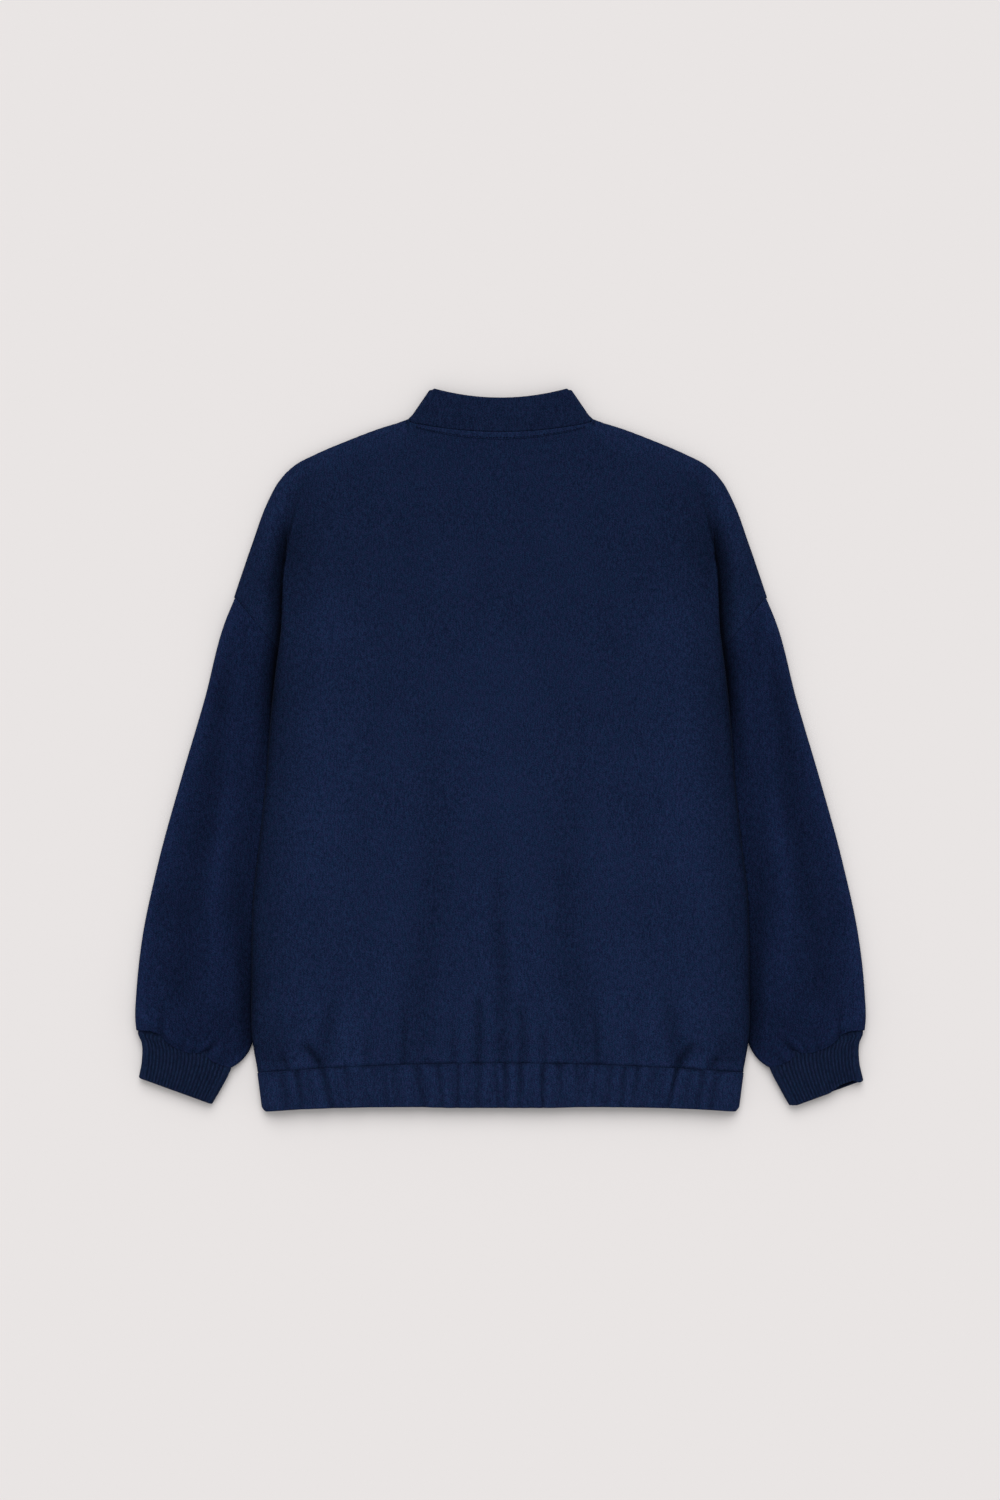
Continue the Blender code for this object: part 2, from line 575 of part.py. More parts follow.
BAND_ROWS = (0.0, 0.35, 0.7, 1.0)
BAND_SIDE_TOP = 0.2335   # half width of the band at its seam and at the hem
BAND_SIDE_HEM = 0.2272
BAND_FLAT = 0.2150       # half width of the band's flat stretch at its seam
BAND_FLAT_HEM = 0.2087   # the same at the hem
BAND_FRONT_X = (HALF_GAP, 0.05, 0.11, 0.17, BAND_FLAT)
BAND_SIDE_ANGLES = (-60, -25, 15, 55)
BAND_STEPS = 21          # even columns of the flat stretch, besides those at the gathers
BAND_LEAST = 0.0032      # least distance between two columns
BAND_CREST = 0.0020      # how far the gathers' crests stand over the casing's plain form
BAND_HEM_SHARE = 0.6     # share of the gathers' depth that is left at the hem


def build_waistband():
    """Casing from centre front round the back, gathered on the back's side."""
    low, top = CASING / 2, CASING_TOP
    radius = (top - low) / 2
    centres = np.array([gather[0] for gather in BAND_GATHERS])
    leans = np.array([gather[1] - gather[0] for gather in BAND_GATHERS])
    even = np.linspace(-BAND_FLAT, BAND_FLAT, BAND_STEPS)
    wanted = np.sort(np.concatenate([even, centres, (centres[1:] + centres[:-1]) / 2]))
    columns = [wanted[0]]
    for x in wanted[1:]:
        if x - columns[-1] > BAND_LEAST:
            columns.append(x)
    path = [("front", x) for x in BAND_FRONT_X]
    path += [("side", angle) for angle in BAND_SIDE_ANGLES]
    path += [("back", x) for x in reversed(columns)]
    path += [("other", angle) for angle in reversed(BAND_SIDE_ANGLES)]
    path += [("front", -x) for x in reversed(BAND_FRONT_X)]
    points, lift = [], []
    for v in BAND_ROWS:
        crest = BAND_CREST * mix(1.0, BAND_HEM_SHARE, v)
        side_x = mix(BAND_SIDE_TOP, BAND_SIDE_HEM, v) - CASING / 2
        flat_x = mix(BAND_FLAT, BAND_FLAT_HEM, v)
        scale = flat_x / BAND_FLAT
        for kind, value in path:
            raised = 0.0
            if kind == "front":
                x, z = value * (scale if abs(value) > HALF_GAP else 1.0), low
            elif kind == "back":
                x = value * scale + v * float(np.interp(value, centres, leans)) * 0.8
                pressed = sum(depth * np.exp(-((value - at) / GATHER_HALF_WIDTH) ** 2)
                              for at, end, depth in BAND_GATHERS)
                z = top
                raised = crest - min(pressed, BAND_CREST) * mix(1.0, BAND_HEM_SHARE, v)
            else:
                a = np.radians(value)
                x = (side_x - (side_x - flat_x) * (1 - np.cos(a))) * (1 if kind == "side" else -1)
                z = (low + top) / 2 + radius * np.sin(a)
                raised = crest * smooth(value, 0, 60)
            points.append([x, mix(hem_seam_y(x) - HALF_GAP, hem_y(x), v), z])
            lift.append(raised)
    points = np.array(points)
    count = len(path)
    quads = [list(reversed(quad)) for quad in grid_quads(len(BAND_ROWS), count)]
    across = np.arange(count)
    down = np.arange(len(BAND_ROWS)) * count
    square = [(across, (0, 1, 0)), (across + down[-1], (0, 1, 0)), (down, (1, 0, 0)),
              (down + count - 1, (1, 0, 0))]
    return sheet("waistband", points, quads, CASING, NAVY, square, lift)


# Collar and neck ----------------------------------------------------------------------------

COLLAR_ROWS = (0.0, 0.5, 1.0)
COLLAR_CORNER = (0.0675, 0.3475)
COLLAR_TOP_Y = 0.3380    # upper edge at centre back
COLLAR_TOP_RISE = 0.0100
COLLAR_FRONT_TOP = 0.2700  # upper edge at centre front, hidden
COLLAR_SIDE_TOP = 0.3470   # upper edge at the side folds
COLLAR_SIDE_BOTTOM = 0.3168  # neck seam at the side folds
COLLAR_FOLD_ANGLES = (-50, 0, 50)
COLLAR_FOLD_REACH = 0.004  # how far in the side folds' bends reach
COLLAR_SHARES = (0.94, 0.85, 0.70, 0.55, 0.40, 0.25, 0.10)  # columns of the back, from its side
COLLAR_OVER = 0.0004       # how much higher than the back panel the collar's back lies


def build_collar():
    """Stand collar from centre front round the back, pressed flat along two side folds."""
    low, top = DOUBLE / 2, BACK_HEIGHT + COLLAR_OVER
    bottom_x, top_x = NECK_HALF - DOUBLE / 2, COLLAR_CORNER[0] - DOUBLE / 2
    half_path = [("front", angle) for angle in NECK_ANGLES[:-1]]
    half_path += [("fold", angle) for angle in COLLAR_FOLD_ANGLES]
    half_path += [("back", share) for share in COLLAR_SHARES]
    path = [(1, kind, value) for kind, value in half_path] + [(1, "back", 0.0)]
    path += [(-1, kind, value) for kind, value in reversed(half_path)]
    points = []
    for v in COLLAR_ROWS:
        for side, kind, value in path:
            if kind == "front":
                a = np.radians(value)
                bottom = front_neck(value, 2 * SEAM_GAP)
                rise = (COLLAR_SIDE_TOP - COLLAR_FRONT_TOP) * np.cos(a)
                upper = ((top_x - COLLAR_FOLD_REACH) * np.sin(a), COLLAR_SIDE_TOP - rise)
                z = low + (top - low) * 0.3 * smooth(value, 60, 95)
                if value == 0:
                    bottom, upper = (HALF_GAP, bottom[1]), (HALF_GAP, upper[1])
            elif kind == "fold":
                a = np.radians(value)
                reach = COLLAR_FOLD_REACH * (1 - np.cos(a))
                bottom, upper = (bottom_x - reach, COLLAR_SIDE_BOTTOM), (top_x - reach, COLLAR_SIDE_TOP)
                z = (low + top) / 2 + (top - low) / 2 * np.sin(a)
            else:
                x = top_x * value
                bottom = (bottom_x * value, back_neck_y(bottom_x * value) + HALF_GAP)
                upper = (x, COLLAR_TOP_Y + COLLAR_TOP_RISE * (x / COLLAR_CORNER[0]) ** 2)
                z = top
            x, y = mix(np.array(bottom), np.array(upper), v)
            points.append([side * x, y, z])
    points = np.array(points)
    count = len(path)
    quads = grid_quads(len(COLLAR_ROWS), count)
    rows = np.arange(len(COLLAR_ROWS))
    across = []
    for side, kind, value in path:
        a = np.radians(value) if kind == "front" else np.pi
        across.append((side * np.sin(a), -np.cos(a), 0.0))
    square = [(np.arange(count), np.array(across)), (rows * count, (1, 0, 0)),
              (rows * count + count - 1, (1, 0, 0))]
    return sheet("collar", points, quads, DOUBLE, NAVY, square)


STRIP_THICK = 0.0012     # neck seam band
STRIP_WIDTH = 0.0068     # its width at centre back
STRIP_HALF = 0.0800      # half its length
STRIP_TAPER = 0.45       # share of the width that is lost towards its ends
STRIP_COLUMNS = 25


def build_neck_band():
    """Topstitched strip on the back panel under the collar seam."""
    points = []
    for v in (0.0, 0.5, 1.0):
        for share in np.linspace(-1, 1, STRIP_COLUMNS):
            x = share * STRIP_HALF
            width = STRIP_WIDTH * (1 - STRIP_TAPER * share**2)
            y = back_neck_y(x) - HALF_GAP - SEAM_GAP - v * width
            points.append([x, y, back_height(x, y) + CLOTH / 2 + SEAM_GAP + STRIP_THICK / 2])
    return sheet("neck_band", points, grid_quads(3, STRIP_COLUMNS), STRIP_THICK, NAVY)


PLACKET_HALF = 0.030     # half width of the strip behind centre front
PLACKET_ROWS = (0.262, 0.15, 0.0, -0.15, -0.29, -0.340)


def build_placket():
    """Underlap strip behind the edges that meet at centre front."""
    low = CASING + SEAM_GAP + CLOTH / 2
    points = [[x, y, low] for y in PLACKET_ROWS for x in (-PLACKET_HALF, 0.0, PLACKET_HALF)]
    return sheet("placket", points, grid_quads(len(PLACKET_ROWS), 3), CLOTH, NAVY)


def main():
    """Build every piece in an empty scene, with all faces pointing out."""
    for thing in list(bpy.data.objects):
        bpy.data.objects.remove(thing, do_unlink=True)
    build_back()
    for side, word in ((-1, "left"), (1, "right")):
        build_front("front_" + word, side)
        build_sleeve("sleeve_" + word, side)
        build_cuff("cuff_" + word, side)
    build_waistband()
    build_collar()
    build_neck_band()
    build_placket()
    for thing in bpy.data.objects:
        mesh = bmesh.new()
        mesh.from_mesh(thing.data)
        bmesh.ops.recalc_face_normals(mesh, faces=mesh.faces)
        mesh.to_mesh(thing.data)
        mesh.free()


main()
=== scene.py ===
"""Deep navy wool bomber jacket, laid flat with its back up.

Everything is in metres in the frame's own axes: +Z out of the back panel, +Y towards the collar
and +X towards the wearer's right. Each piece of cloth is a thin wall round a middle surface that
follows the form of its solid, with the main folds and gathers given one by one.
"""
import logging
import math
from collections.abc import Iterable
from dataclasses import dataclass, field
from enum import Enum

import bpy
import numpy as np
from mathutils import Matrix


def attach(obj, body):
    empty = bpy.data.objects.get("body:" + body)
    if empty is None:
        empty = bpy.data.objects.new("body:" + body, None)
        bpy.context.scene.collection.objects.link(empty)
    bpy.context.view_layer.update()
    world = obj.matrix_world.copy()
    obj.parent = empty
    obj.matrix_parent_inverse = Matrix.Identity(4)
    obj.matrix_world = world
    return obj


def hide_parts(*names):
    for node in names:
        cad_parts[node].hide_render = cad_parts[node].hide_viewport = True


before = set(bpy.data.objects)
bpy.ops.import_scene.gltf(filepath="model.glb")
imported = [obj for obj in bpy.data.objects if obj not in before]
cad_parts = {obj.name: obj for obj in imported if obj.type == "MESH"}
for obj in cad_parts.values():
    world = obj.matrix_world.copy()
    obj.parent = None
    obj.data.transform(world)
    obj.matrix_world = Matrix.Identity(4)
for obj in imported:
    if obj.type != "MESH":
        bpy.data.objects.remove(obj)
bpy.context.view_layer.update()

log = logging.getLogger("jacket")
BODY = "root"
LEAST_SHARE = 0.31
AREA_STEPS = 1e4
TINY = 1e-6


# Small tools ---------------------------------------------------------------------------------

def smooth(value: np.ndarray | float, low: float = 0.0, high: float = 1.0) -> np.ndarray:
    """Ease from 0 to 1.

    Args:
        value: Number or array to ease.
        low: Value that gives 0.
        high: Value that gives 1.

    Returns:
        The eased value, as an array.
    """
    t = np.clip((np.asarray(value, float) - low) / (high - low), 0.0, 1.0)
    return t * t * (3 - 2 * t)


def mix(a: np.ndarray | float, b: np.ndarray | float, t: np.ndarray | float) -> np.ndarray:
    """Go straight from a to b as t goes from 0 to 1."""
    return a + (b - a) * t


def curve(points: np.ndarray, count: int) -> np.ndarray:
    """Smooth line through points, evenly spaced by length.

    Args:
        points: Points in two or three dimensions, in order.
        count: How many points the line gets.

    Returns:
        Array of count points.
    """
    points = np.asarray(points, float)
    length = np.r_[0, np.cumsum(np.linalg.norm(np.diff(points, axis=0), axis=1))]
    slope = np.gradient(points, length, axis=0)
    at = np.linspace(0, length[-1], count)
    i = np.clip(np.searchsorted(length, at, side="right") - 1, 0, len(points) - 2)
    span = (length[i + 1] - length[i])[:, None]
    t = (at - length[i])[:, None] / span
    return ((2 * t**3 - 3 * t**2 + 1) * points[i] + (t**3 - 2 * t**2 + t) * span * slope[i]
            + (3 * t**2 - 2 * t**3) * points[i + 1] + (t**3 - t**2) * span * slope[i + 1])


def x_at(line: np.ndarray, y: np.ndarray | float) -> np.ndarray:
    """x where a line that runs towards -Y crosses the height y."""
    return np.interp(y, line[::-1, 1], line[::-1, 0])


def along(line: np.ndarray, fraction: float) -> np.ndarray:
    """Plan point of a dense line at a fraction of its length."""
    at = fraction * (len(line) - 1)
    return np.array([np.interp(at, np.arange(len(line)), line[:, k]) for k in (0, 1)])


def unit(vectors: np.ndarray) -> np.ndarray:
    """Vectors along the last axis, made one long."""
    return vectors / np.maximum(np.linalg.norm(vectors, axis=-1, keepdims=True), TINY**2)


@dataclass(frozen=True)
class Crease:
    """Soft trough, or ridge where the depth is negative, along a line in plan."""

    start: tuple[float, float]
    end: tuple[float, float]
    half_width: float
    depth: float
    fade_in: tuple[float, float] = (-0.12, 0.25)
    fade_out: tuple[float, float] = (0.65, 1.12)

    def relief(self, x: np.ndarray, y: np.ndarray) -> np.ndarray:
        """Height that the crease adds at plan points.

        Args:
            x: Plan x of the points.
            y: Plan y of the points.

        Returns:
            Heights in metres, negative in a trough.
        """
        ax, ay = self.start
        dx, dy = self.end[0] - ax, self.end[1] - ay
        length = math.hypot(dx, dy)
        t = ((x - ax) * dx + (y - ay) * dy) / length**2
        off = ((x - ax) * dy - (y - ay) * dx) / length
        fade = smooth(t, *self.fade_in) * (1 - smooth(t, *self.fade_out))
        return -self.depth * fade * np.exp(-((off / self.half_width) ** 2))


@dataclass(frozen=True)
class Furrow:
    """Long soft trough down the cloth with painted shade along it, or a ridge with a painted highlight where
    both are negative.
    """

    points: tuple
    half_width: float
    depth: float
    # Strength of the painted shade along the furrow.
    tone: float
    fade: float = 0.06
    end_fade: float = 0.020
    lip: float = 0.4
    lip_breadth: float = 2.6

    def profile(self, x: np.ndarray, y: np.ndarray, broad: float = 1.0) -> np.ndarray:
        """How far in the furrow plan points lie.

        Args:
            x: Plan x of the points.
            y: Plan y of the points.
            broad: Factor of the half width.

        Returns:
            Shares from 0, outside it, to 1 along its middle.
        """
        line = np.array(self.points)
        centre = np.interp(-y, -line[:, 1], line[:, 0])
        ends = smooth(line[0, 1] - y, 0.0, self.fade) * smooth(y - line[-1, 1], -self.end_fade, self.end_fade)
        return ends * np.exp(-((x - centre) / (self.half_width * broad)) ** 2)

    def relief(self, x: np.ndarray, y: np.ndarray) -> np.ndarray:
        """Height that the furrow adds, with low ridges on both sides of it."""
        return self.depth * (self.lip * self.profile(x, y, self.lip_breadth) - self.profile(x, y))

    def shade(self, x: np.ndarray, y: np.ndarray) -> np.ndarray:
        """Painted shade along the furrow, or a painted highlight along a ridge."""
        return 1 - self.tone * self.profile(x, y)


def waves(x: np.ndarray, y: np.ndarray, seed: int, longest: float, shortest: float = 0.35,
          count: int = 9) -> np.ndarray:
    """Uneven gentle undulation between about -1 and 1.

    Args:
        x: Plan x of the points.
        y: Plan y of the points.
        seed: Chooses the pattern.
        longest: Longest wavelength, in metres.
        shortest: Shortest wavelength, as a share of the longest.
        count: How many waves are added.

    Returns:
        Heights without a unit.
    """
    chance = np.random.default_rng(seed)
    total = np.zeros(np.broadcast(x, y).shape)
    for _ in range(count):
        angle, phase = chance.uniform(0, math.pi), chance.uniform(0, 2 * math.pi)
        wave = 2 * math.pi / (longest * chance.uniform(shortest, 1.0))
        total += np.sin(wave * (x * math.cos(angle) + y * math.sin(angle)) + phase)
    return total / math.sqrt(count)


class Side(Enum):
    """The wearer's sides, by the sign of x."""

    LEFT = -1
    RIGHT = 1

    @property
    def word(self) -> str:
        """The side as a word for names."""
        return self.name.lower()


class Slot(Enum):
    """The record's material slots."""

    WOOL = "wool"
    SHADED_SLEEVE_WOOL = "wool_sleeve"
    RIB_KNIT = "rib_knit"


# Plan of the jacket --------------------------------------------------------------------------

@dataclass(frozen=True)
class Plan:
    """Sizes and lines that several pieces share.

    The points are plan x and y on the +X side: of the shoulder outline from the neck to the
    armhole, of the sleeve's two edges from there to the cuff, of the body's side fold from the
    shoulder to the hem, and of the line where the back turns under. The hem and its seam have
    their height at centre back and their drop at the side.
    """

    cloth: float = 0.0022
    seam_gap: float = -0.0003
    neck_half: float = 0.0888
    back_neck_y: float = 0.3050
    back_neck_dip: float = 0.0095
    front_neck_y: float = 0.2320
    front_neck_drop: float = 0.0012
    underarm: tuple[float, float] = (0.142, 0.010)
    tip: tuple[float, float] = (0.2550, 0.1460)
    shoulder_points: tuple = ((0.0893, 0.3182), (0.0941, 0.3162), (0.1166, 0.3090), (0.1474, 0.2973),
                              (0.1752, 0.2856), (0.1968, 0.2741), (0.2088, 0.2626), (0.2222, 0.2395),
                              (0.2366, 0.2011), (0.2496, 0.1627), (0.2550, 0.1460))
    overarm_points: tuple = ((0.2550, 0.1460), (0.2640, 0.1243), (0.2846, 0.0475), (0.3072, -0.0293),
                             (0.3283, -0.1061), (0.3446, -0.1829), (0.3497, -0.2300),
                             (0.3509, -0.2597), (0.3500, -0.2700))
    underarm_points: tuple = ((0.142, 0.010), (0.1750, -0.0890), (0.2075, -0.1860),
                              (0.2372, -0.2790), (0.2440, -0.2933), (0.2513, -0.3010), (0.2580, -0.3052))
    fold_points: tuple = ((0.184, 0.281), (0.190, 0.249), (0.200, 0.215), (0.207, 0.182),
                          (0.211, 0.113), (0.217, 0.067), (0.222, 0.016), (0.225, -0.026),
                          (0.2315, -0.089), (0.237, -0.135), (0.239, -0.217), (0.2376, -0.285),
                          (0.2335, -0.308))
    turn_points: tuple = ((0.208, 0.263), (0.206, 0.225), (0.199, 0.180), (0.186, 0.130),
                          (0.166, 0.075), (0.136, 0.010))
    hem_seam: tuple[float, float] = (-0.3010, 0.0086)
    hem: tuple[float, float] = (-0.3430, 0.0046)
    hem_sag: float = 0.0009
    sag_range: tuple[float, float] = (0.045, 0.085)
    hem_half: float = 0.225
    hem_reach: float = 1.04
    hem_seam_reach: float = 1.1
    side_x: float = 0.23
    pull: float = 0.5
    pull_length: float = 0.05
    pull_seed: int = 51
    floor_layer: float = 0.0011
    back_height: float = 0.0090
    tucked: float = 0.0046
    crest: float = 0.0130
    cuff_top: float = 0.0086
    sleeve_end: float = 0.0108
    crest_change: float = 0.002
    crest_falls: tuple[float, float] = (0.0, 0.2)
    crest_rises: tuple[float, float] = (0.15, 0.25)
    crest_reach: tuple[float, float] = (0.001, 0.040)
    end_slant: float = 0.30
    end_outer: float = 0.35
    end_range: tuple[float, float] = (0.262, 0.300)

    def __post_init__(self) -> None:
        """Work out the dense lines from their points."""
        for name in ("shoulder", "overarm", "underarm", "fold", "turn"):
            object.__setattr__(self, name + "_line", curve(getattr(self, name + "_points"), 200))
        outline = np.vstack([self.shoulder_line, self.overarm_line[1:]])
        object.__setattr__(self, "outline", outline)

    def neck_y(self, x: np.ndarray | float) -> np.ndarray:
        """Neck seam of the back."""
        return self.back_neck_y + self.back_neck_dip * (x / self.neck_half) ** 2

    def hem_seam_y(self, x: np.ndarray | float) -> np.ndarray:
        """Waistband seam."""
        drop = self.hem_seam[1] * np.minimum(abs(x) / self.hem_half, self.hem_seam_reach) ** 2
        return self.hem_seam[0] - drop

    def hem_y(self, x: np.ndarray | float) -> np.ndarray:
        """Lower edge of the waistband, which sags a little at centre back."""
        drop = self.hem[1] * np.minimum(abs(x) / self.hem_half, self.hem_reach) ** 4
        return self.hem[0] - drop - self.hem_sag * (1 - smooth(abs(x), *self.sag_range))

    def pulled(self, x: np.ndarray) -> np.ndarray:
        """How strongly the elastic draws its seam in along x, around 1; it sets the depth of the painted
        shade at the seam.
        """
        return 1 + self.pull * waves(x, np.zeros_like(x), self.pull_seed, self.pull_length)

    def edge_distance(self, x: np.ndarray, y: np.ndarray) -> np.ndarray:
        """Distance of plan points from the shoulder and overarm outline."""
        away = np.hypot(np.abs(x)[..., None] - self.outline[:, 0], y[..., None] - self.outline[:, 1])
        return away.min(axis=-1)

    def front_neck(self, angle: float, inset: float = 0.0) -> np.ndarray:
        """Point of the front neck seam, or of a line inside it.

        Args:
            angle: Degrees round the neck, from 0 at centre front to 90 at the shoulder.
            inset: How far inside the seam the line lies.

        Returns:
            Plan point.
        """
        top = self.shoulder_points[0][1] - self.front_neck_drop
        half, drop = self.shoulder_points[0][0] - inset, top - self.front_neck_y - inset
        a = math.radians(angle)
        return np.array([half * math.sin(a), top - drop * math.cos(a)])


PLAN = Plan()


# Walls of cloth ------------------------------------------------------------------------------

class Edge(Enum):
    """Borders of a grid of points."""

    FIRST_ROW = 0
    LAST_ROW = 1
    FIRST_COLUMN = 2
    LAST_COLUMN = 3


@dataclass
class Wall:
    """Closed wall round a grid of middle points, its borders rounded like a folded edge.

    Beside the grid it may have how far the outer face is lifted, which quads are kept and its
    painted shade, a factor of the colour, each by point. Rows in square stand across a given direction. Each
    lip step is a distance from the border in thicknesses, the share of the thickness there, and
    the most of the way to the next point.
    """

    grid: np.ndarray
    thickness: float
    closed: bool = False
    lift: np.ndarray | None = None
    keep: np.ndarray | None = None
    shade: np.ndarray | None = None
    square: list = field(default_factory=list)
    lips: tuple = (Edge.FIRST_ROW, Edge.LAST_ROW)
    hollow: float = 0.0016
    spread: tuple[int, int] = (3, 3)
    blurs: int = 2
    shade_range: tuple[float, float] = (0.30, 1.25)
    lip_share: float = 0.30
    lip_steps: tuple = ((0.16, 0.74, 0.3), (0.50, 1.0, 0.7))

    def __post_init__(self) -> None:
        """Add the rounded borders."""
        rows, columns = self.grid.shape[:2]
        self.share = np.ones((rows, columns))
        if self.lift is None:
            self.lift = np.zeros((rows, columns))
        if self.shade is None:
            self.shade = np.ones((rows, columns))
        if self.keep is None:
            self.keep = np.ones((rows - 1, columns if self.closed else columns - 1), bool)
        for edge in self.lips:
            self._round(edge)

    def _round(self, edge: Edge) -> None:
        """Put two more lines of points beside a border, thinner towards it.

        Args:
            edge: The border.
        """
        by_column = edge in (Edge.FIRST_COLUMN, Edge.LAST_COLUMN)
        last = edge in (Edge.LAST_ROW, Edge.LAST_COLUMN)
        arrays = [self.grid, self.lift, self.shade, self.share, self.keep]
        if by_column:
            arrays = [a.swapaxes(0, 1) for a in arrays]
        if last:
            arrays = [a[::-1] for a in arrays]
        grid, lift, shade, share, keep = arrays
        gap = np.linalg.norm(grid[1] - grid[0], axis=-1)
        new_grid, new_lift, new_share = [grid[0]], [lift[0]], [share[0] * self.lip_share]
        for distance, part, most in self.lip_steps:
            t = np.minimum(distance * self.thickness / np.maximum(gap, TINY), most)
            new_grid.append(grid[0] + (grid[1] - grid[0]) * t[:, None])
            new_lift.append(mix(lift[0], lift[1], t))
            new_share.append(mix(share[0], share[1], t) * part)
        grid = np.concatenate([np.array(new_grid), grid[1:]])
        lift = np.concatenate([np.array(new_lift), lift[1:]])
        share = np.concatenate([np.array(new_share), share[1:]])
        shade = np.concatenate([shade[:1], shade[:1], shade[:1], shade[1:]])
        keep = np.concatenate([keep[:1], keep[:1], keep])
        arrays = [grid, lift, shade, share, keep]
        if last:
            arrays = [a[::-1] for a in arrays]
        if by_column:
            arrays = [a.swapaxes(0, 1) for a in arrays]
        self.grid, self.lift, self.shade, self.share, self.keep = arrays

    def normals(self) -> np.ndarray:
        """Unit normals of the grid.

        Returns:
            One normal for each point, on the side that faces out.
        """
        down = np.gradient(self.grid, axis=0)
        if self.closed:
            right = (np.roll(self.grid, -1, axis=1) - np.roll(self.grid, 1, axis=1)) / 2
        else:
            right = np.gradient(self.grid, axis=1)
        return unit(np.cross(down, right))

    def shades(self, outer: np.ndarray, normal: np.ndarray) -> np.ndarray:
        """Painted shade and highlight: a colour factor under 1 in hollows, a little over 1 on crests.

        Args:
            outer: Points of the outer face.
            normal: Their normals.

        Returns:
            Factor of the colour at each point.
        """
        mean = outer
        for axis, steps in ((0, self.spread[0]), (1, self.spread[1])):
            for _ in range(self.blurs):
                if axis == 1 and self.closed:
                    padded = np.concatenate([mean[:, -steps:], mean, mean[:, :steps]], axis=1)
                else:
                    pad = [(steps, steps) if k == axis else (0, 0) for k in range(3)]
                    padded = np.pad(mean, pad, mode="reflect", reflect_type="odd")
                count = mean.shape[axis]
                mean = sum(padded.take(range(k, k + count), axis=axis) for k in range(2 * steps + 1))
                mean = mean / (2 * steps + 1)
        # Painted shade where the outer face lies below its blurred neighbours, painted highlight where it
        # stands above.
        depth = ((mean - outer) * normal).sum(axis=-1)
        return self.shade * np.clip(1 - depth / self.hollow, *self.shade_range)

    def area(self) -> float:
        """Area of the cloth.

        Returns:
            Area of the kept middle surface, in square metres.
        """
        grid = np.concatenate([self.grid, self.grid[:, :1]], axis=1) if self.closed else self.grid
        a, b, c, d = grid[:-1, :-1], grid[1:, :-1], grid[1:, 1:], grid[:-1, 1:]
        return float((np.linalg.norm(np.cross(c - a, d - b), axis=-1) / 2)[self.keep].sum())

    def build(self, name: str, material: bpy.types.Material) -> bpy.types.Object:
        """Make the mesh object.

        Args:
            name: Name of the object.
            material: Its finish.

        Returns:
            The object, at the origin, with its place in its mesh.
        """
        normal = self.normals()
        for pick, direction in self.square:
            share = (normal[pick] * direction).sum(axis=-1, keepdims=True)
            normal[pick] = unit(normal[pick] - share * direction)
        half = self.share * self.thickness / 2
        outer = self.grid + normal * (half + self.lift)[..., None]
        inner = self.grid - normal * half[..., None]
        rows, columns = self.grid.shape[:2]
        number = np.arange(rows * columns).reshape(rows, columns)
        if self.closed:
            number = np.concatenate([number, number[:, :1]], axis=1)
        quads = np.stack([number[:-1, :-1], number[1:, :-1], number[1:, 1:], number[:-1, 1:]], axis=-1)
        quads = quads[self.keep]
        count = rows * columns
        pairs = np.concatenate([quads[:, [k, (k + 1) % 4]] for k in range(4)])
        code, back = pairs[:, 0] * count + pairs[:, 1], pairs[:, 1] * count + pairs[:, 0]
        border = pairs[~np.isin(back, code)]
        rims = np.stack([border[:, 1], border[:, 0], border[:, 0] + count, border[:, 1] + count], axis=-1)
        faces = np.concatenate([quads, quads[:, ::-1] + count, rims])
        used, faces = np.unique(faces, return_inverse=True)
        vertices = np.concatenate([outer.reshape(-1, 3), inner.reshape(-1, 3)])[used]
        # Painted shade and highlights: the outer face with its hollows and crests, the inner face with the
        # given painted shade alone.
        shade = np.concatenate([self.shades(outer, normal).ravel(), self.shade.ravel()])[used]
        mesh = bpy.data.meshes.new(name)
        mesh.from_pydata(vertices.tolist(), [], faces.reshape(-1, 4).tolist())
        mesh.attributes.new("shade", "FLOAT", "POINT").data.foreach_set("value", shade.astype(np.float32))
        mesh.shade_smooth()
        mesh.materials.append(material)
        made = bpy.data.objects.new(name, mesh)
        bpy.context.collection.objects.link(made)
        return made


def mirrored(grid: np.ndarray) -> np.ndarray:
    """The same surface on the -X side, its columns turned round so that it still faces out."""
    return grid[:, ::-1] * np.array([-1.0, 1.0, 1.0])


# Finishes ------------------------------------------------------------------------------------

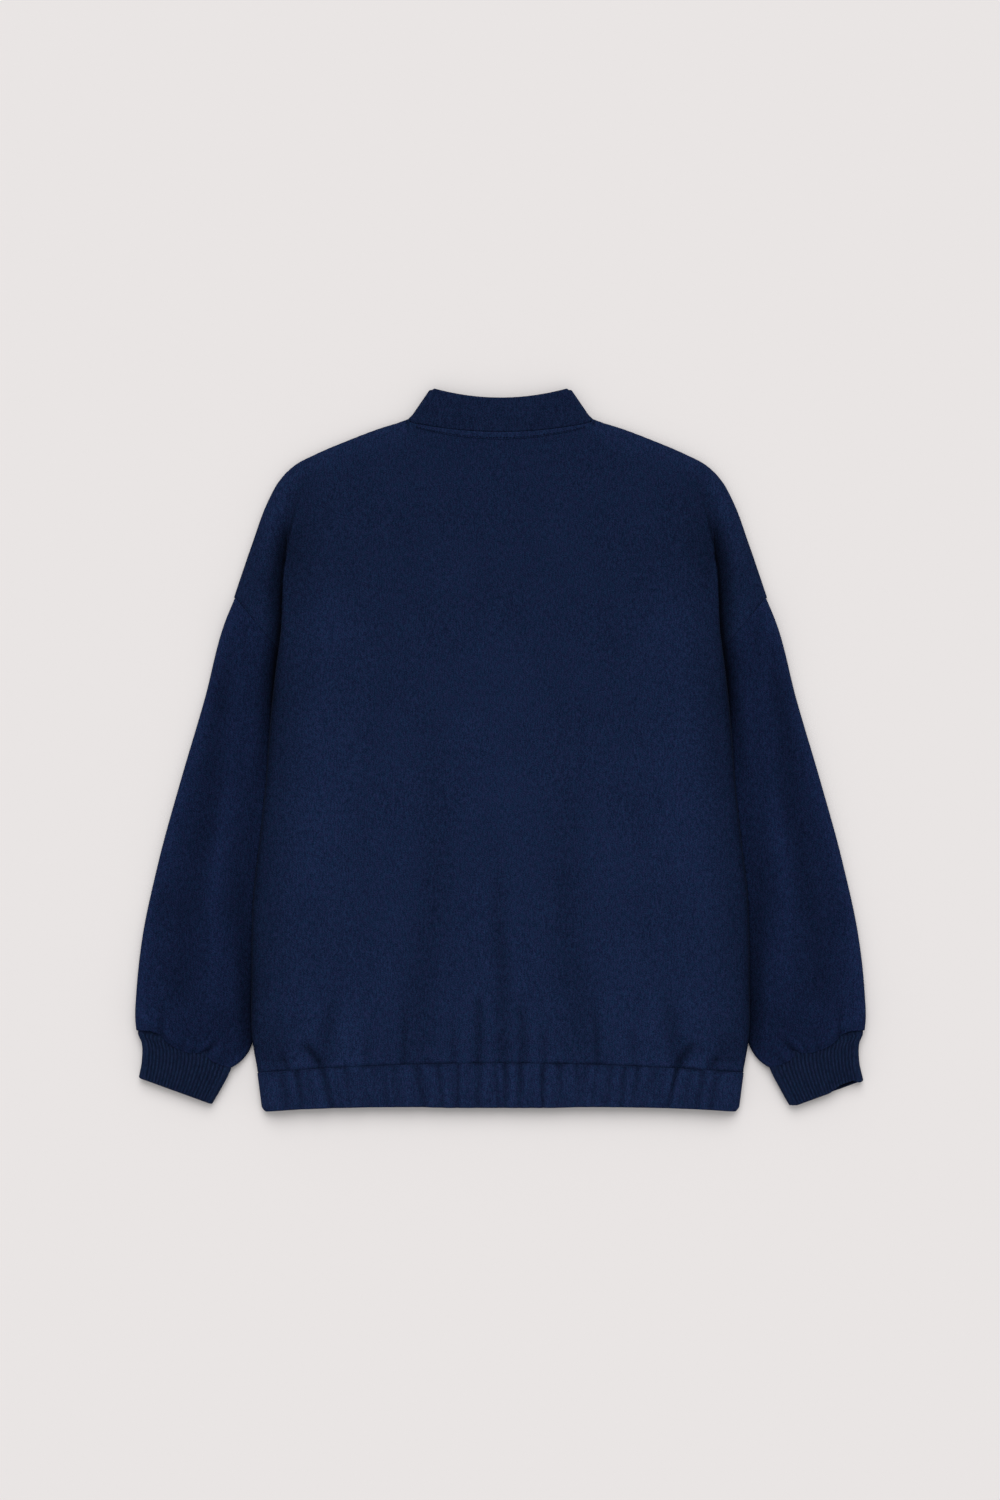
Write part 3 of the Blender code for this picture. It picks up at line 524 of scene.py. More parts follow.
@dataclass(frozen=True)
class Finish:
    """Procedural cloth: yarn-scale colour, soft blotches, relief of the weave and nap, its colour scaled by
    the painted shade that each mesh carries.

    Shares are how much of the colour comes from the flecks, the grain, the clouds and the
    twill, and relief_shares how much of the relief comes from the flecks and the grain. Each
    heather stop is a place in the noise and the tint there.
    """

    name: str
    dark: tuple[float, float, float]
    light: tuple[float, float, float]
    contrast: tuple[float, float] = (0.440, 0.580)
    shares: tuple[float, float, float, float] = (0.54, 0.30, 0.04, 0.12)
    fleck: float = 980.0
    grain: float = 0.9
    grain_stretch: tuple[float, float, float] = (1.0, 0.22, 1.0)
    cloud: float = 26.0
    cloud_stretch: tuple[float, float, float] = (1.0, 0.6, 1.0)
    noise_roughness: float = 0.6
    twill: float = 260.0
    twill_turn: float = 32.0
    twill_wander: float = 3.0
    tint: float = 0.55
    heather: tuple = ((0.38, (0.82, 1.07, 1.02)), (0.62, (1.20, 0.95, 1.02)))
    weave: float = 0.55
    relief_shares: tuple[float, float] = (0.6, 0.4)
    bump: float = 0.35
    bump_height: float = 0.0006
    roughness: float = 0.95
    specular: float = 0.03
    sheen: float = 0.018
    sheen_roughness: float = 0.45
    sheen_tint: tuple[float, float, float] = (0.45, 0.58, 1.0)

    def material(self) -> bpy.types.Material:
        """Build the node material.

        Returns:
            The material, ready to assign.
        """
        made = bpy.data.materials.new(self.name)
        made.use_nodes = True
        tree = made.node_tree
        shader = tree.nodes["Principled BSDF"]
        place = tree.nodes.new("ShaderNodeTexCoord").outputs["Object"]
        fleck = self._noise(tree, place, (1.0, 1.0, 1.0), self.fleck, 3.0)
        grain = self._noise(tree, place, self.grain_stretch, self.fleck * self.grain, 2.0)
        cloud = self._noise(tree, place, self.cloud_stretch, self.cloud, 2.0)
        twill = self._twill(tree, place)
        tone = self._sum(tree, zip((fleck, grain, cloud, twill), self.shares))
        colour = self._ramp(tree, tone, zip(self.contrast, (self.dark, self.light)))
        # The mesh's shade attribute: painted shade and highlights that scale the colour.
        shade = tree.nodes.new("ShaderNodeAttribute")
        shade.attribute_name = "shade"
        shaded = tree.nodes.new("ShaderNodeVectorMath")
        shaded.operation = "SCALE"
        tree.links.new(self._heather(tree, place, colour), shaded.inputs[0])
        tree.links.new(shade.outputs["Fac"], shaded.inputs["Scale"])
        tree.links.new(shaded.outputs["Vector"], shader.inputs["Base Color"])
        relief = self._sum(tree, zip((twill, fleck, grain), (self.weave, *self.relief_shares)))
        bump = tree.nodes.new("ShaderNodeBump")
        bump.inputs["Strength"].default_value = self.bump
        bump.inputs["Distance"].default_value = self.bump_height
        tree.links.new(relief, bump.inputs["Height"])
        tree.links.new(bump.outputs["Normal"], shader.inputs["Normal"])
        shader.inputs["Roughness"].default_value = self.roughness
        shader.inputs["Specular IOR Level"].default_value = self.specular
        shader.inputs["Sheen Weight"].default_value = self.sheen
        shader.inputs["Sheen Roughness"].default_value = self.sheen_roughness
        shader.inputs["Sheen Tint"].default_value = (*self.sheen_tint, 1.0)
        return made

    def _noise(self, tree: bpy.types.NodeTree, place: bpy.types.NodeSocket,
               stretch: tuple[float, float, float], scale: float, detail: float) -> bpy.types.NodeSocket:
        """Noise on object coordinates.

        Args:
            tree: The material's nodes.
            place: Socket of the object coordinates.
            stretch: Factor of the coordinates along each axis.
            scale: How fine the noise is.
            detail: How many finer layers it has.

        Returns:
            Socket of the noise, from 0 to 1.
        """
        mapping = tree.nodes.new("ShaderNodeMapping")
        mapping.inputs["Scale"].default_value = stretch
        tree.links.new(place, mapping.inputs["Vector"])
        noise = tree.nodes.new("ShaderNodeTexNoise")
        noise.inputs["Scale"].default_value = scale
        noise.inputs["Detail"].default_value = detail
        noise.inputs["Roughness"].default_value = self.noise_roughness
        tree.links.new(mapping.outputs["Vector"], noise.inputs["Vector"])
        return noise.outputs["Fac"]

    def _ramp(self, tree: bpy.types.NodeTree, value: bpy.types.NodeSocket,
              stops: Iterable[tuple]) -> bpy.types.NodeSocket:
        """Colour that changes evenly between two stops.

        Args:
            tree: The material's nodes.
            value: Socket that chooses the colour.
            stops: Place and colour of each stop.

        Returns:
            Socket of the colour.
        """
        ramp = tree.nodes.new("ShaderNodeValToRGB")
        for element, (position, colour) in zip(ramp.color_ramp.elements, stops):
            element.position = position
            element.color = (*colour, 1.0)
        tree.links.new(value, ramp.inputs["Fac"])
        return ramp.outputs["Color"]

    def _heather(self, tree: bpy.types.NodeTree, place: bpy.types.NodeSocket,
                 colour: bpy.types.NodeSocket) -> bpy.types.NodeSocket:
        """Turn the fibres' colour a little towards teal in some flecks and violet in others.

        Args:
            tree: The material's nodes.
            place: Socket of the object coordinates.
            colour: Socket of the plain colour.

        Returns:
            Socket of the tinted colour.
        """
        noise = self._noise(tree, place, self.cloud_stretch, self.fleck * self.tint, 2.0)
        tinted = tree.nodes.new("ShaderNodeVectorMath")
        tinted.operation = "MULTIPLY"
        tree.links.new(colour, tinted.inputs[0])
        tree.links.new(self._ramp(tree, noise, self.heather), tinted.inputs[1])
        return tinted.outputs["Vector"]

    def _twill(self, tree: bpy.types.NodeTree, place: bpy.types.NodeSocket) -> bpy.types.NodeSocket:
        """Fine slanting lines of the twill.

        Args:
            tree: The material's nodes.
            place: Socket of the object coordinates.

        Returns:
            Socket of the lines, from 0 to 1.
        """
        mapping = tree.nodes.new("ShaderNodeMapping")
        mapping.inputs["Rotation"].default_value = (0.0, 0.0, math.radians(self.twill_turn))
        tree.links.new(place, mapping.inputs["Vector"])
        wave = tree.nodes.new("ShaderNodeTexWave")
        wave.inputs["Scale"].default_value = self.twill
        wave.inputs["Distortion"].default_value = self.twill_wander
        wave.inputs["Detail"].default_value = 2.0
        wave.inputs["Detail Scale"].default_value = 3.0
        tree.links.new(mapping.outputs["Vector"], wave.inputs["Vector"])
        return wave.outputs["Fac"]

    def _sum(self, tree: bpy.types.NodeTree, parts: Iterable[tuple]) -> bpy.types.NodeSocket:
        """Weighted sum of sockets.

        Args:
            tree: The material's nodes.
            parts: Each socket and its weight.

        Returns:
            Socket of the sum.
        """
        total = None
        for socket, weight in parts:
            scaled = tree.nodes.new("ShaderNodeMath")
            scaled.operation = "MULTIPLY_ADD"
            scaled.inputs[1].default_value = weight
            tree.links.new(socket, scaled.inputs[0])
            if total is None:
                scaled.inputs[2].default_value = 0.0
            else:
                tree.links.new(total, scaled.inputs[2])
            total = scaled.outputs[0]
        return total


WOOL = Finish("wool", dark=(0.0032, 0.0071, 0.0243), light=(0.0114, 0.0219, 0.0640))
# The sleeves' finish: the body's wool made darker, as painted shade.
SHADED_SLEEVE_WOOL = Finish("wool_sleeve", dark=(0.0025, 0.0053, 0.0190), light=(0.0088, 0.0170, 0.0530))
RIB_KNIT = Finish("rib_knit", dark=(0.0033, 0.0067, 0.0210), light=(0.0098, 0.0186, 0.0500), fleck=1100.0,
                  weave=0.1)
THREAD = Finish("thread", dark=(0.0060, 0.0095, 0.0260), light=(0.0120, 0.0180, 0.0450), fleck=1500.0,
                weave=0.0, bump=0.1)


# Pieces --------------------------------------------------------------------------------------

@dataclass(frozen=True)
class SideFold:
    """Painted shade in the hollow along the body's side folds, with a painted highlight on the sleeve beyond.

    At each height the tables give the strength of the painted shade on the body's side and on the sleeve's
    side, and of the painted highlight on the sleeve's rim beyond. A negative strength is a painted highlight,
    lighter than the plain cloth.
    """

    heights: tuple = (-0.300, -0.285, -0.240, -0.190, -0.145, -0.050, 0.009, 0.050, 0.0955, 0.140, 0.190,
                      0.240, 0.275)
    on_body: tuple = (0.50, 0.80, 0.90, 0.92, 0.91, 0.86, 0.95, 1.00, 0.76, 0.60, 0.67, 0.25, 0.00)
    on_sleeve: tuple = (0.60, 0.85, 0.75, 0.35, 0.00, -0.30, 0.50, 1.10, 1.40, 1.28, 1.03, 0.32, 0.00)
    body_reach: float = 0.017
    body_depth: float = 0.80
    sleeve_reach: float = 0.0085
    sleeve_depth: float = 0.92
    darkest: float = 0.10
    rim: tuple = (0.22, 0.22, 0.20, 0.10, 0.00, 0.00, 0.20, 0.26, 0.22, 0.20, 0.20, 0.08, 0.00)
    rim_at: float = 0.0175
    rim_half: float = 0.0070

    def shade(self, x: np.ndarray, y: np.ndarray) -> np.ndarray:
        """Painted shade beside the fold, with a painted highlight on the sleeve's rim beyond it.

        Args:
            x: Plan x of the points.
            y: Plan y of the points.

        Returns:
            Factors, above 1 on the rim.
        """
        beyond = np.abs(x) - x_at(PLAN.fold_line, y)
        # Painted shade on both sides of the fold, then the painted highlight on the sleeve's rim.
        body = self.body_depth * np.exp(-np.maximum(-beyond, 0) / self.body_reach)
        sleeve = self.sleeve_depth * np.exp(-np.maximum(beyond, 0) / self.sleeve_reach)
        dark = np.where(beyond < 0, body * np.interp(y, self.heights, self.on_body),
                        sleeve * np.interp(y, self.heights, self.on_sleeve))
        light = np.interp(y, self.heights, self.rim) * np.exp(-((beyond - self.rim_at) / self.rim_half) ** 2)
        return np.maximum(1 - dark, self.darkest) * (1 + light)


FOLD = SideFold()


class BackRow:
    """One row of the back's middle points on the +X side, from its outer edge to centre back."""

    def __init__(self, panel: "BackPanel", p: float, q: float) -> None:
        """Work out where the row crosses the turn and the side fold.

        Args:
            panel: The back, for its sizes.
            p: From 0 on the shoulder to 1 at the underarm.
            q: From 0 at the underarm to 1 at the waistband.
        """
        self.panel, self.p, self.q = panel, p, q
        self.folded = float(smooth(p, *panel.folded_range))
        fold_y = float(self.y_from(PLAN.fold_points[0][1], PLAN.side_x))
        self.fold_x = float(x_at(PLAN.fold_line, fold_y)) - PLAN.cloth / 2
        inner = min(float(x_at(PLAN.underarm_line, fold_y)), self.fold_x - panel.fold_clear)
        self.turn_y = mix(PLAN.turn_points[0][1], PLAN.underarm[1], p)
        self.turn_x = float(x_at(PLAN.turn_line, self.turn_y)) if q == 0 else inner - panel.turn_below[1]
        self.low = float(smooth(-fold_y, *panel.fold_low))
        self.edge_z = mix(panel.fold_edge, panel.fold_edge_low, self.low)

    def y_from(self, start: float | np.ndarray, x: float | np.ndarray) -> np.ndarray:
        """Plan y of the row below a starting height at the top edge."""
        hem = PLAN.hem_seam_y(x) + PLAN.seam_gap / 2
        return mix(mix(start, PLAN.underarm[1], self.p), hem, self.q)

    def beside(self) -> list:
        """Points from the shoulder outline or armhole to the turn.

        Returns:
            The points, without the one on the turn.
        """
        line, first, under = PLAN.shoulder_line, np.array(PLAN.turn_points[0]), np.array(PLAN.underarm)
        share = np.argmin(np.hypot(*(line - first).T)) / (len(line) - 1)
        armhole = mix(np.array(PLAN.tip), under, self.p)
        turn = np.array([self.turn_x + self.panel.turn_out * self.folded, self.turn_y])
        points = []
        for s in np.linspace(0, 1, self.panel.outer_points + 1)[:-1]:
            bow = along(line, 1 - s * (1 - share)) - mix(np.array(PLAN.tip), first, s)
            x, y = mix(armhole, turn, s) + bow * (1 - self.p) ** 2
            beside = float(self.panel.beside(np.array(x), np.array(y)))
            joined = float(smooth(self.p, *self.panel.beside_rows))
            points.append([x, y, mix(PLAN.back_height, beside, joined)])
        return points

    def levels(self) -> tuple[list, list]:
        """Where the layer that is wrapped under the fold lies, at seven points from the turn.

        Returns:
            Their x and z where the cloth is folded.
        """
        panel, above = self.panel, self.q == 0
        step, reach = panel.turn_above if above else panel.turn_below
        start, stop = self.turn_x + reach, self.fold_x - panel.turn_out
        x = [self.turn_x, self.turn_x + step, start, mix(start, stop, 1 / 3), mix(start, stop, 2 / 3), stop,
             self.fold_x]
        rest = [panel.wrapped, panel.wrapped, panel.wrapped_side, self.edge_z]
        if above:
            return x, [panel.turn, panel.wrapped, panel.wrapped] + rest
        high = [panel.side_seam, panel.side_steps[1], panel.wrapped] + rest
        lowered = [panel.side_seam] * 4 + [*panel.side_steps, self.edge_z]
        return x, [mix(a, b, self.low) for a, b in zip(high, lowered)]

    def wrapped(self) -> list:
        """Points from the turn, under the body, to the side fold.

        Returns:
            Seven points; on the shoulder, where nothing is folded, they lie on the back itself.
        """
        panel, points = self.panel, []
        shallow = float(smooth(self.p, *panel.flat_rows))
        for k, (x, z) in enumerate(zip(*self.levels())):
            s = k / 6
            x = mix(mix(self.turn_x, self.fold_x, s), x, self.folded)
            flat_z = mix(PLAN.back_height, mix(panel.turn, self.edge_z, s), shallow)
            top_x = mix(PLAN.turn_points[0][0], PLAN.fold_points[0][0], s)
            y = float(self.y_from(float(panel.top_edge(np.array(top_x))), x))
            points.append([x, y, mix(flat_z, z, self.folded)])
        return points

    def rolled(self) -> list:
        """Points from the side fold round its roll to the level part of the back.

        Returns:
            The points, without the one on the fold.
        """
        panel, points = self.panel, []
        shallow = float(smooth(self.p, *panel.flat_rows))
        for s in panel.roll_steps:
            a = s * math.pi / 2
            x = self.fold_x - panel.roll * mix(s, 1 - math.cos(a), self.folded)
            start = float(panel.top_edge(np.array(PLAN.fold_points[0][0] - panel.roll * s)))
            y = float(self.y_from(start, x))
            top = float(panel.height(np.array(self.fold_x - panel.roll), np.array(y)))
            flat_z = mix(mix(PLAN.back_height, self.edge_z, shallow), top, s)
            points.append([x, y, mix(flat_z, mix(self.edge_z, top, math.sin(a)), self.folded)])
        return points

    def points(self) -> np.ndarray:
        """The whole row.

        Returns:
            Array of points from the outer edge, round the turn and the fold, to centre back.
        """
        panel, wrapped = self.panel, self.wrapped()
        left = 1 - np.linspace(0, 1, panel.centre_points)[1:]
        x = (self.fold_x - panel.roll) * left
        y = self.y_from(panel.top_edge((PLAN.fold_points[0][0] - panel.roll) * left), x)
        centre = np.column_stack([x, y, panel.height(x, y)])
        rolled = curve(np.array([wrapped[-1]] + self.rolled()), panel.roll_points)[1:]
        wrapped = curve(np.array(wrapped), panel.wrap_points)
        return np.vstack([np.array(self.beside()), wrapped, rolled, centre])


@dataclass
class BackPanel:
    """Back, one piece from the neck to the waistband that turns under at both side folds.

    Where two numbers say over what length something changes, they are heights below the
    middle of the jacket or distances from an edge.
    """

    flat: tuple[float, float] = (0.700, 0.625)
    fold_edge: float = 0.0096
    fold_edge_low: float = 0.0064
    fold_low: tuple[float, float] = (0.272, 0.300)
    fold_clear: float = 0.008
    folded_range: tuple[float, float] = (0.14, 0.42)
    wrapped: float = 0.0074
    wrapped_side: float = 0.0081
    turn: float = 0.0060
    turn_out: float = 0.0015
    turn_above: tuple[float, float] = (0.0015, 0.007)
    turn_below: tuple[float, float] = (0.007, 0.015)
    side_seam: float = 0.0036
    side_steps: tuple[float, float] = (0.0038, 0.0050)
    side_rise: float = 0.0044
    rise_starts: tuple[float, float] = (-0.20, -0.10)
    rise_ends: tuple[float, float] = (0.24, 0.30)
    rise_width: tuple[float, float] = (0.035, 0.110)
    hem_rise: float = 0.0020
    hem_rise_range: tuple[float, float] = (0.16, 0.28)
    waviness: tuple = ((0.00018, 0.16), (0.00003, 0.05))
    wave_seed: int = 7
    beside_range: tuple[float, float] = (-0.255, -0.195)
    beside_rows: tuple[float, float] = (0.05, 0.25)
    flat_rows: tuple[float, float] = (0.03, 0.30)
    shoulder_edge: float = 0.0025
    edge_round: float = 0.012
    neck_clear: float = 0.001
    change_range: tuple[float, float] = (0.002, 0.012)
    roll: float = 0.024
    roll_steps: tuple = (0.17, 0.34, 0.5, 0.67, 0.84, 1.0)
    first_rows: tuple = (0, 0.006, 0.014, 0.024, 0.036)
    rows_above: int = 56
    rows_below: int = 92
    outer_points: int = 14
    wrap_points: int = 30
    roll_points: int = 12
    centre_points: int = 76
    top_from: int = 56
    hollow: float = 0.0032
    # Painted light and shade: tone makes the back lighter towards the hem; seam_dark is painted shade in the
    # seam's groove, side_dark painted shade beyond the side folds and shoulder_dark painted shade along the
    # shoulder outline.
    tone: tuple[float, float] = (0.95, 1.09)
    tone_range: tuple[float, float] = (-0.26, 0.16)
    seam_dark: float = 0.24
    seam_half: float = 0.0020
    side_dark: float = 0.17
    beyond_width: tuple[float, float] = (0.0, 0.010)
    beyond_range: tuple[float, float] = (-0.240, -0.170)
    shoulder_dark: float = 0.10
    shoulder_range: tuple[float, float] = (0.003, 0.030)
    furrows: tuple = (
        Furrow(((-0.0773, 0.1435), (-0.0658, -0.0197), (-0.0600, -0.1157), (-0.0773, -0.2309),
                (-0.0869, -0.3200)), 0.0205, 0.0008, 0.155, 0.34),
        Furrow(((0.0619, 0.1243), (0.0619, -0.0965), (0.0638, -0.1733), (0.0763, -0.2501),
                (0.0859, -0.3200)), 0.0205, 0.0008, 0.155, 0.32),
        Furrow(((-0.0005, -0.0700), (-0.0024, -0.1733), (0.0024, -0.2117), (0.0024, -0.3200)),
               0.0100, 0.0010, 0.17, 0.12),
        Furrow(((-0.0197, -0.2250), (-0.0216, -0.3200)), 0.0056, 0.0008, 0.24, 0.035),
        Furrow(((0.0187, -0.2250), (0.0235, -0.3200)), 0.0056, 0.0008, 0.24, 0.035),
        Furrow(((-0.0917, -0.2300), (-0.0936, -0.3200)), 0.0040, 0.0009, 0.10, 0.04),
        Furrow(((0.0890, -0.2300), (0.0946, -0.3200)), 0.0040, 0.0009, 0.10, 0.04),
        Furrow(((-0.1560, -0.2050), (-0.1720, -0.3200)), 0.0100, 0.0015, 0.07, 0.06),
        Furrow(((0.1560, -0.2050), (0.1720, -0.3200)), 0.0100, 0.0015, 0.07, 0.06),
        Furrow(((-0.2170, -0.2600), (-0.2040, -0.3200)), 0.0060, 0.0012, 0.05, 0.03),
        Furrow(((0.2170, -0.2600), (0.2040, -0.3200)), 0.0060, 0.0012, 0.05, 0.03),
        Furrow(((-0.0460, -0.2450), (-0.0440, -0.3200)), 0.0045, 0.0008, 0.06, 0.04),
        Furrow(((0.0410, -0.2500), (0.0410, -0.3200)), 0.0045, 0.0008, 0.06, 0.04),
        Furrow(((0.1240, -0.2550), (0.1310, -0.3200)), 0.0060, 0.0007, 0.05, 0.03),
        Furrow(((-0.1240, -0.2550), (-0.1310, -0.3200)), 0.0060, 0.0007, 0.05, 0.03),
        Furrow(((-0.1730, 0.1700), (-0.1730, -0.1400)), 0.0450, -0.0004, -0.08, 0.06),
        Furrow(((0.1730, 0.1700), (0.1730, -0.1400)), 0.0450, -0.0004, -0.08, 0.06),
        Furrow(((-0.1400, -0.1800), (-0.1400, -0.3200)), 0.0240, -0.0004, -0.07, 0.06),
        Furrow(((0.1300, -0.1700), (0.1300, -0.3200)), 0.0280, -0.0004, -0.07, 0.06),
        Furrow(((-0.0090, 0.1700), (-0.0090, -0.0600)), 0.0420, -0.0003, -0.05, 0.09))
    creases: tuple = (
        Crease((-0.188, -0.281), (-0.170, -0.306), 0.0052, 0.0024),
        Crease((0.186, -0.281), (0.167, -0.306), 0.0052, 0.0024),
        Crease((0.209, -0.294), (0.197, -0.307), 0.0040, 0.0018),
        Crease((-0.214, -0.291), (-0.204, -0.307), 0.0040, 0.0017),
        Crease((-0.205, 0.160), (-0.150, 0.262), 0.016, 0.0007),
        Crease((0.205, 0.160), (0.150, 0.262), 0.016, 0.0007),
        Crease((-0.120, -0.040), (-0.175, -0.170), 0.020, 0.0006),
        Crease((0.125, -0.020), (0.170, -0.160), 0.020, 0.0006))

    def height(self, x: np.ndarray, y: np.ndarray) -> np.ndarray:
        """Middle of the back where it is the top layer.

        Args:
            x: Plan x of the points.
            y: Plan y of the points.

        Returns:
            Heights above the floor.
        """
        inside = x_at(PLAN.fold_line, y) - np.abs(x)
        over = smooth(-y, *self.rise_starts) * (1 - smooth(-y, *self.rise_ends))
        height = PLAN.back_height + self.side_rise * over * (1 - smooth(inside, *self.rise_width))
        height = height + self.hem_rise * smooth(-y, *self.hem_rise_range)
        for fold in self.furrows + self.creases:
            height = height + fold.relief(x, y)
        for seed, (depth, length) in enumerate(self.waviness, self.wave_seed):
            height = height + depth * waves(x, y, seed, length)
        return height

    def shade(self, x: np.ndarray, y: np.ndarray) -> np.ndarray:
        """Painted light and shade: darker beside the folds and along the furrows, lighter towards the hem,
        dark in the groove at its seam.

        Args:
            x: Plan x of the points.
            y: Plan y of the points.

        Returns:
            Factors around 1.
        """
        tone = FOLD.shade(x, y) * mix(self.tone[0], self.tone[1], smooth(-y, *self.tone_range))
        beyond = smooth(np.abs(x) - x_at(PLAN.fold_line, y), *self.beyond_width)
        tone = tone * (1 - self.side_dark * (beyond * smooth(-y, *self.beyond_range)))
        for fold in self.furrows:
            tone = tone * fold.shade(x, y)
        seam = np.exp(-((y - PLAN.hem_seam_y(x)) / self.seam_half) ** 2)
        return tone * (1 - self.seam_dark * PLAN.pulled(x) * seam)

    def beside(self, x: np.ndarray, y: np.ndarray) -> np.ndarray:
        """Middle of the back between the shoulder outline and the side fold."""
        return mix(PLAN.back_height, sleeve_height(x, y), smooth(-y, *self.beside_range))

    def top_edge(self, x: np.ndarray) -> np.ndarray:
        """Neck seam and shoulder line.

        Args:
            x: Plan x of the points.

        Returns:
            Plan y of the back's upper edge.
        """
        shoulder = np.interp(np.abs(x), PLAN.shoulder_line[:, 0], PLAN.shoulder_line[:, 1])
        neck = PLAN.neck_y(x) - PLAN.seam_gap / 2
        return np.where(np.abs(x) < PLAN.shoulder_points[0][0], neck, shoulder)

    def wall(self) -> Wall:
        """Wall of the whole panel.

        Returns:
            Its wall, open beside the sleeves below the underarm.
        """
        above = np.r_[self.first_rows, np.linspace(0.05, 1.0, self.rows_above)]
        below = np.linspace(0, 1, self.rows_below)[1:]
        rows = [(p, 0.0) for p in above] + [(1.0, q) for q in below]
        right = np.array([BackRow(self, p, q).points() for p, q in rows])
        x, y, z = right[..., 0], right[..., 1], right[..., 2]
        neck = (np.arange(right.shape[1]) > self.top_from)[None, :] & (np.abs(x) < PLAN.shoulder_points[0][0])
        distance = PLAN.edge_distance(x, y)
        inward = np.clip(1 - distance / self.edge_round, 0, 1)
        rounded = self.shoulder_edge + (z - self.shoulder_edge) * np.sqrt(1 - inward**2)
        right[..., 2] = np.where(neck, z, rounded)
        left = right[:, :-1] * np.array([-1, 1, 1])
        change = self.height(left[..., 0], left[..., 1]) - self.height(-left[..., 0], left[..., 1])
        change = change * smooth(distance[:, :-1], *self.change_range)
        left[:, self.top_from:, 2] += change[:, self.top_from:]
        grid = np.concatenate([left, right[:, ::-1]], axis=1)
        self.draw_in(grid, len(above))
        keep = np.ones((len(rows) - 1, grid.shape[1] - 1), bool)
        keep[len(above) - 1:, :self.outer_points] = False
        keep[len(above) - 1:, -self.outer_points:] = False
        # Painted shade along the shoulder outline.
        near = 1 - smooth(PLAN.edge_distance(grid[..., 0], grid[..., 1]), *self.shoulder_range)
        shade = self.shade(grid[..., 0], grid[..., 1]) * (1 - self.shoulder_dark * near)
        return Wall(grid, PLAN.cloth, keep=keep, shade=shade, lips=tuple(Edge), hollow=self.hollow)

    def draw_in(self, grid: np.ndarray, above: int) -> None:
        """Move the shoulder line in by half the cloth and the armhole edges by half the seam.

        Args:
            grid: Middle points of the panel, which are changed.
            above: How many rows lie above the underarm.
        """
        line = PLAN.shoulder_line
        for point in grid[0]:
            if abs(point[0]) >= PLAN.shoulder_points[0][0] - self.neck_clear:
                near = int(np.argmin(np.hypot(line[:, 0] - abs(point[0]), line[:, 1] - point[1])))
                tangent = unit(line[min(near + 1, len(line) - 1)] - line[max(near - 1, 0)])
                point[:2] += np.array([math.copysign(tangent[1], point[0]), -tangent[0]]) * PLAN.cloth / 2
        seam = np.array(PLAN.tip) - np.array(PLAN.underarm)
        across = unit(np.array([seam[1], -seam[0]]))
        grid[1:above, 0, :2] -= np.array([-across[0], across[1]]) * PLAN.seam_gap / 2
        grid[1:above, -1, :2] -= across * PLAN.seam_gap / 2

    def dress(self, material: bpy.types.Material) -> bpy.types.Object:
        """Build the panel, attach it to the body and hide the solid that it replaces.

        Args:
            material: Its finish.

        Returns:
            The piece.
        """
        return dress_wall(self.wall(), "back_cloth", "back", self.flat, material)


def sleeve_height(x: np.ndarray, y: np.ndarray) -> np.ndarray:
    """Middle of a sleeve's upper layer, and of the back where it lies beside the side fold.

    Args:
        x: Plan x of the points.
        y: Plan y of the points.

    Returns:
        Heights above the floor.
    """
    beyond = np.abs(x) - x_at(PLAN.fold_line, y)
    crest = PLAN.crest - PLAN.crest_change * smooth(y, *PLAN.crest_falls)
    crest = crest + PLAN.crest_change * smooth(-y, *PLAN.crest_rises)
    to_cuff = -y - PLAN.end_slant * (np.abs(x) - PLAN.end_outer)
    crest = mix(crest, PLAN.sleeve_end, smooth(to_cuff, *PLAN.end_range))
    return mix(PLAN.tucked, crest, smooth(beyond, *PLAN.crest_reach))


def dress_wall(wall: Wall, name: str, node: str, flat: tuple[float, float],
               material: bpy.types.Material, area: float | None = None) -> bpy.types.Object:
    """Make a piece of cloth, attach it to the body and hide the solid that it replaces.

    Args:
        wall: Its shape.
        name: Name of the piece.
        node: The solid that it replaces.
        flat: Width and length of the flat cut, in metres.
        material: Its finish.
        area: Area of the flat cut in square metres, or None for the wall's own.

    Returns:
        The piece.
    """
    piece = wall.build(name, material)
    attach(piece, BODY)
    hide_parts(node)
    if area is None:
        whole = flat[0] * flat[1]
        area = math.floor(min(max(wall.area(), LEAST_SHARE * whole), whole) * AREA_STEPS) / AREA_STEPS
    log.info("%s: %d faces, cloth %.4f m2", name, len(piece.data.polygons), area)
    return piece


